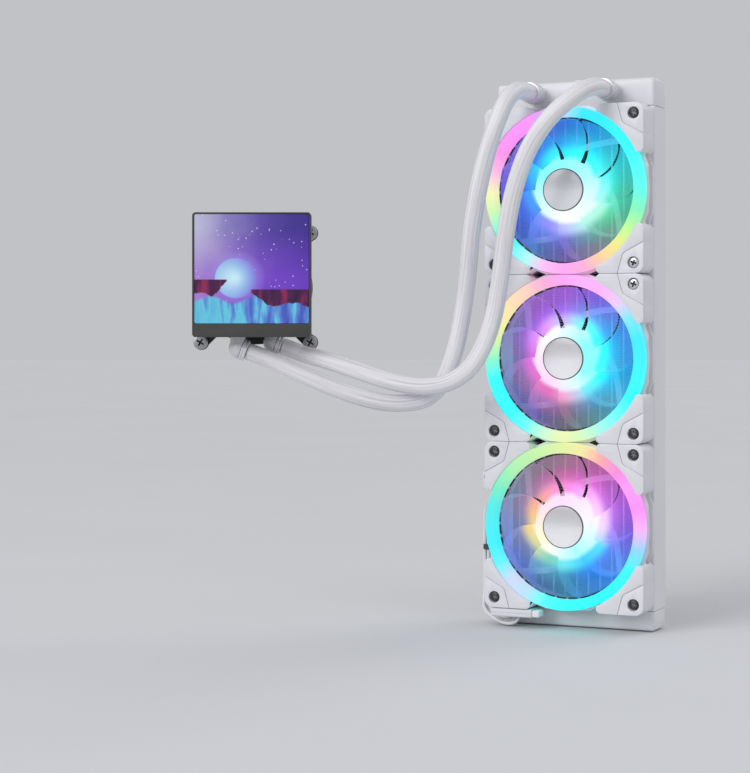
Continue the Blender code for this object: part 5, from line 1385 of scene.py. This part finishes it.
for label, x, y, z in ELBOWS:
    corner = Vector((x, y, z))
    tilt = Matrix.Rotation(math.radians(90) + ELBOW_TILT, 4, 'Y')
    body = bars("elbow_detail_" + label, [(corner, corner + Vector((0, 0, 8.0 * MM)))], 6.6 * MM, ELBOW_WHITE, 64)
    mesh = bpy.data.meshes.new("ball")
    bm = bmesh.new()
    bmesh.ops.create_uvsphere(bm, u_segments=64, v_segments=32, radius=7.6 * MM, matrix=Matrix.Translation(corner) @ tilt)
    bm.to_mesh(mesh)
    bm.free()
    boolean(body, new_object("ball", mesh), 'UNION')
    turn = OUT_DIR.to_track_quat('Z', 'Y').to_matrix().to_4x4()
    face = rounded_box("face", (-12 * MM, -12 * MM, 1.6 * MM), (12 * MM, 12 * MM, 14 * MM), None)
    face.data.transform(Matrix.Translation(corner) @ turn)
    boolean(body, face)
    # Swivel groove near the top of the stub
    ring = turned("swivel", [(6.2 * MM, 6.6 * MM), (8.0 * MM, 6.6 * MM), (8.0 * MM, 6.0 * MM), (6.2 * MM, 6.0 * MM)], None, 64, True,
                  matrix=Matrix.Translation(corner))
    boolean(body, ring)
    smooth(body, 35)
    ride(in_head(body), ROOT, ["elbow_" + label])
    turn = OUT_DIR.to_track_quat('Z', 'Y').to_matrix().to_4x4()
    section = rounded_profile([(3.0 * MM, 5.9 * MM), (7.8 * MM, 5.9 * MM), (7.8 * MM, 4.6 * MM), (7.45 * MM, 4.4 * MM), (7.45 * MM, 3.6 * MM),
                               (7.8 * MM, 3.4 * MM), (7.8 * MM, 1.9 * MM), (3.0 * MM, 1.9 * MM)], 0.35 * MM)
    collar = turned("collar_detail_pump_" + label, section, COLLAR_WHITE, 96, True, matrix=Matrix.Translation(corner) @ turn, angle=45)
    ride(in_head(collar), ROOT, ["collar_pump_" + label])
for side, label in ((-1, "left"), (1, "right")):
    place = Matrix.Translation((side * PORT_X, -RAD_DEPTH, PORT_Z)) @ AXIS_Y
    section = rounded_profile([(3.2 * MM, 18.4 * MM), (7.7 * MM, 18.4 * MM), (7.7 * MM, 16.2 * MM), (7.3 * MM, 15.8 * MM), (7.3 * MM, 15.0 * MM),
                               (7.7 * MM, 14.6 * MM), (7.7 * MM, 9.6 * MM), (7.3 * MM, 9.2 * MM), (7.3 * MM, 8.6 * MM), (7.7 * MM, 8.2 * MM),
                               (7.7 * MM, 6.3 * MM), (3.2 * MM, 6.3 * MM)], 0.25 * MM)
    ride(turned("collar_detail_radiator_" + label, section, COLLAR_WHITE, 96, True, matrix=place, angle=45), ROOT,
         ["collar_radiator_" + label])

# ------------------------------------------------------------------ connector block and plugs
block = rounded_box("connector_detail", (-56.0 * MM, -51.0 * MM, 0.6 * MM), (-24.0 * MM, -29.0 * MM, 6.6 * MM), WHITE_PLASTIC,
                    1.2 * MM, 5, edge=0.0)
boolean(block, rounded_box("split", (-70 * MM, -60 * MM, 3.45 * MM), (-10 * MM, -50.6 * MM, 3.75 * MM), None))
smooth(block, 30)
window = rounded_box("connector_lens", (-23.95 * MM, -50.4 * MM, 1.2 * MM), (-18.6 * MM, -40.0 * MM, 6.0 * MM), None, 0.9 * MM, 4)
glass, tree, shader = shader_of("clear moulding")
shader.inputs["Base Color"].default_value = (0.82, 0.84, 0.88, 1.0)
shader.inputs["Roughness"].default_value = 0.12
shader.inputs["Transmission Weight"].default_value = 0.0
shader.inputs["Alpha"].default_value = 0.45
shader.inputs["IOR"].default_value = 1.46
n = add(tree, "ShaderNodeTexNoise", Scale=300.0, Detail=3.0)
tree.links.new(tree.nodes.new("ShaderNodeTexCoord").outputs["Object"], n.inputs["Vector"])
rr = add(tree, "ShaderNodeMapRange")
rr.inputs["To Min"].default_value = 0.08
rr.inputs["To Max"].default_value = 0.22
tree.links.new(n.outputs["Fac"], rr.inputs["Value"])
tree.links.new(rr.outputs["Result"], shader.inputs["Roughness"])
window.data.materials.append(glass)
smooth(window, 30)
ride(window, ROOT, ["fan_connector"])
ride(block, ROOT, ["fan_connector"])

for name, y, (bx, by, bz), (tx, ty, tz) in (("fan_plug", -25.6, (-62.7, -24.6, 79.3), (-64.0, -25.6, 91.0)),
                                            ("light_plug", -19.0, (-62.7, -20.7, 81.4), (-64.0, -19.0, 91.0))):
    shell = rounded_box(name + "_shell", (-71.2 * MM, (y - 3) * MM, 90 * MM), (-61.2 * MM, (y + 3) * MM, 103 * MM), PLUG_WHITE,
                        0.5 * MM, 3)
    count = 4 if name == "fan_plug" else 3
    for i in range(count):
        cx = -66.2 + (i - (count - 1) / 2) * 2.3
        boolean(shell, rounded_box("socket", ((cx - 0.65) * MM, (y - 0.65) * MM, 96 * MM), ((cx + 0.65) * MM, (y + 0.65) * MM, 106 * MM), None))
        boolean(shell, rounded_box("slot", ((cx - 0.4) * MM, (y - 4) * MM, 98 * MM), ((cx + 0.4) * MM, (y - 2.3) * MM, 100.5 * MM), None))
    for dx in (-3.0, 3.0):
        rib = rounded_box("rib", ((-66.2 + dx - 0.5) * MM, (y + 2.6) * MM, 92 * MM), ((-66.2 + dx + 0.5) * MM, (y + 3.5) * MM, 102.4 * MM), None, 0.2 * MM, 2)
        boolean(shell, rib, 'UNION')
    smooth(shell, 30)
    ride(shell, ROOT, [name])
    boot = bars(name + "_boot", [((bx * MM, by * MM, bz * MM), (tx * MM, ty * MM, tz * MM))], 1.4 * MM, CABLE_WHITE, 24)
    smooth(boot, 40)
    bpy.data.objects.remove(boot, do_unlink=True)

for name, plug_name, exit_point in (("fan_cable", "fan_plug", (-37.5, -41.0, 0.4)), ("light_cable", "light_plug", (-41.5, -37.5, 0.4))):
    obj, points = cables[name]
    ride(obj, ROOT, [name, "cable_coil"])

tie_line = []
for i in range(49):
    a = 2 * math.pi * i / 48
    tie_line.append(Vector(((-66.8 + 6.3 * math.copysign(abs(math.cos(a)) ** 0.45, math.cos(a))) * MM,
                            (HANK_Y + 12.8 * math.copysign(abs(math.sin(a)) ** 0.6, math.sin(a))) * MM, 47.4 * MM)))
tie_mesh = bpy.data.meshes.new("tie")
bm = bmesh.new()
rows = []
for i, p in enumerate(tie_line[:-1]):
    a = 2 * math.pi * i / 48
    n = Vector((math.cos(a), math.sin(a), 0))
    rows.append([bm.verts.new(p + n * o * MM + Vector((0, 0, h * MM))) for o, h in ((0, -2), (0.7, -1.9), (0.7, 1.9), (0, 2))])
for i in range(len(rows)):
    r0, r1 = rows[i], rows[(i + 1) % len(rows)]
    for k in range(4):
        bm.faces.new((r0[k], r0[(k + 1) % 4], r1[(k + 1) % 4], r1[k]))
bmesh.ops.recalc_face_normals(bm, faces=bm.faces)
bm.to_mesh(tie_mesh)
bm.free()
tie = new_object("hank_tie", tie_mesh, TIE_BLACK)
smooth(tie, 40)
ride(tie, ROOT, ["cable_coil"])

# ------------------------------------------------------------------ floor and light
floor_mat, tree, shader = shader_of("studio floor")
n = add(tree, "ShaderNodeTexNoise", Scale=3.0, Detail=3.0)
tree.links.new(tree.nodes.new("ShaderNodeTexCoord").outputs["Object"], n.inputs["Vector"])
tree.links.new(ramp(tree, n.outputs["Fac"], [(0.3, (0.685, 0.692, 0.71)), (0.7, (0.705, 0.712, 0.73))]), shader.inputs["Base Color"])
shader.inputs["Roughness"].default_value = 0.8
bpy.ops.mesh.primitive_circle_add(vertices=96, radius=14.0, fill_type='NGON', location=(0, 0, -0.0078))
floor = bpy.context.active_object
floor.name = "floor"
floor.data.materials.append(floor_mat)

world = bpy.data.worlds.new("world")
SCENE.world = world
world.use_nodes = True
world.node_tree.nodes["Background"].inputs[0].default_value = (0.86, 0.87, 0.90, 1.0)
world.node_tree.nodes["Background"].inputs[1].default_value = 0.62


def area_light(name, location, target, size, power, colour=(1, 1, 1)):
    data = bpy.data.lights.new(name, 'AREA')
    data.shape = 'RECTANGLE'
    data.size, data.size_y = size
    data.energy = power
    data.color = colour
    obj = link(bpy.data.objects.new(name, data))
    obj.location = location
    obj.rotation_euler = (Vector(target) - Vector(location)).to_track_quat('-Z', 'Y').to_euler()
    return obj


def sun(name, direction, strength, spread, colour=(1, 1, 1)):
    data = bpy.data.lights.new(name, 'SUN')
    data.energy = strength
    data.angle = math.radians(spread)
    data.color = colour
    obj = link(bpy.data.objects.new(name, data))
    obj.rotation_euler = Vector(direction).to_track_quat('-Z', 'Y').to_euler()
    return obj


sun("key", (0.30, 0.85, -0.40), 1.15, 28.0)
sun("rear", (-0.45, -0.70, -0.50), 0.55, 40.0)
area_light("upper strip", (-0.5, -0.9, 1.15), (-0.05, -0.05, 0.2), (1.3, 0.35), 1.6)
area_light("right strip", (1.1, -0.7, 0.9), (0, 0, 0.2), (0.3, 0.5), 0.8, (0.96, 0.98, 1.0))
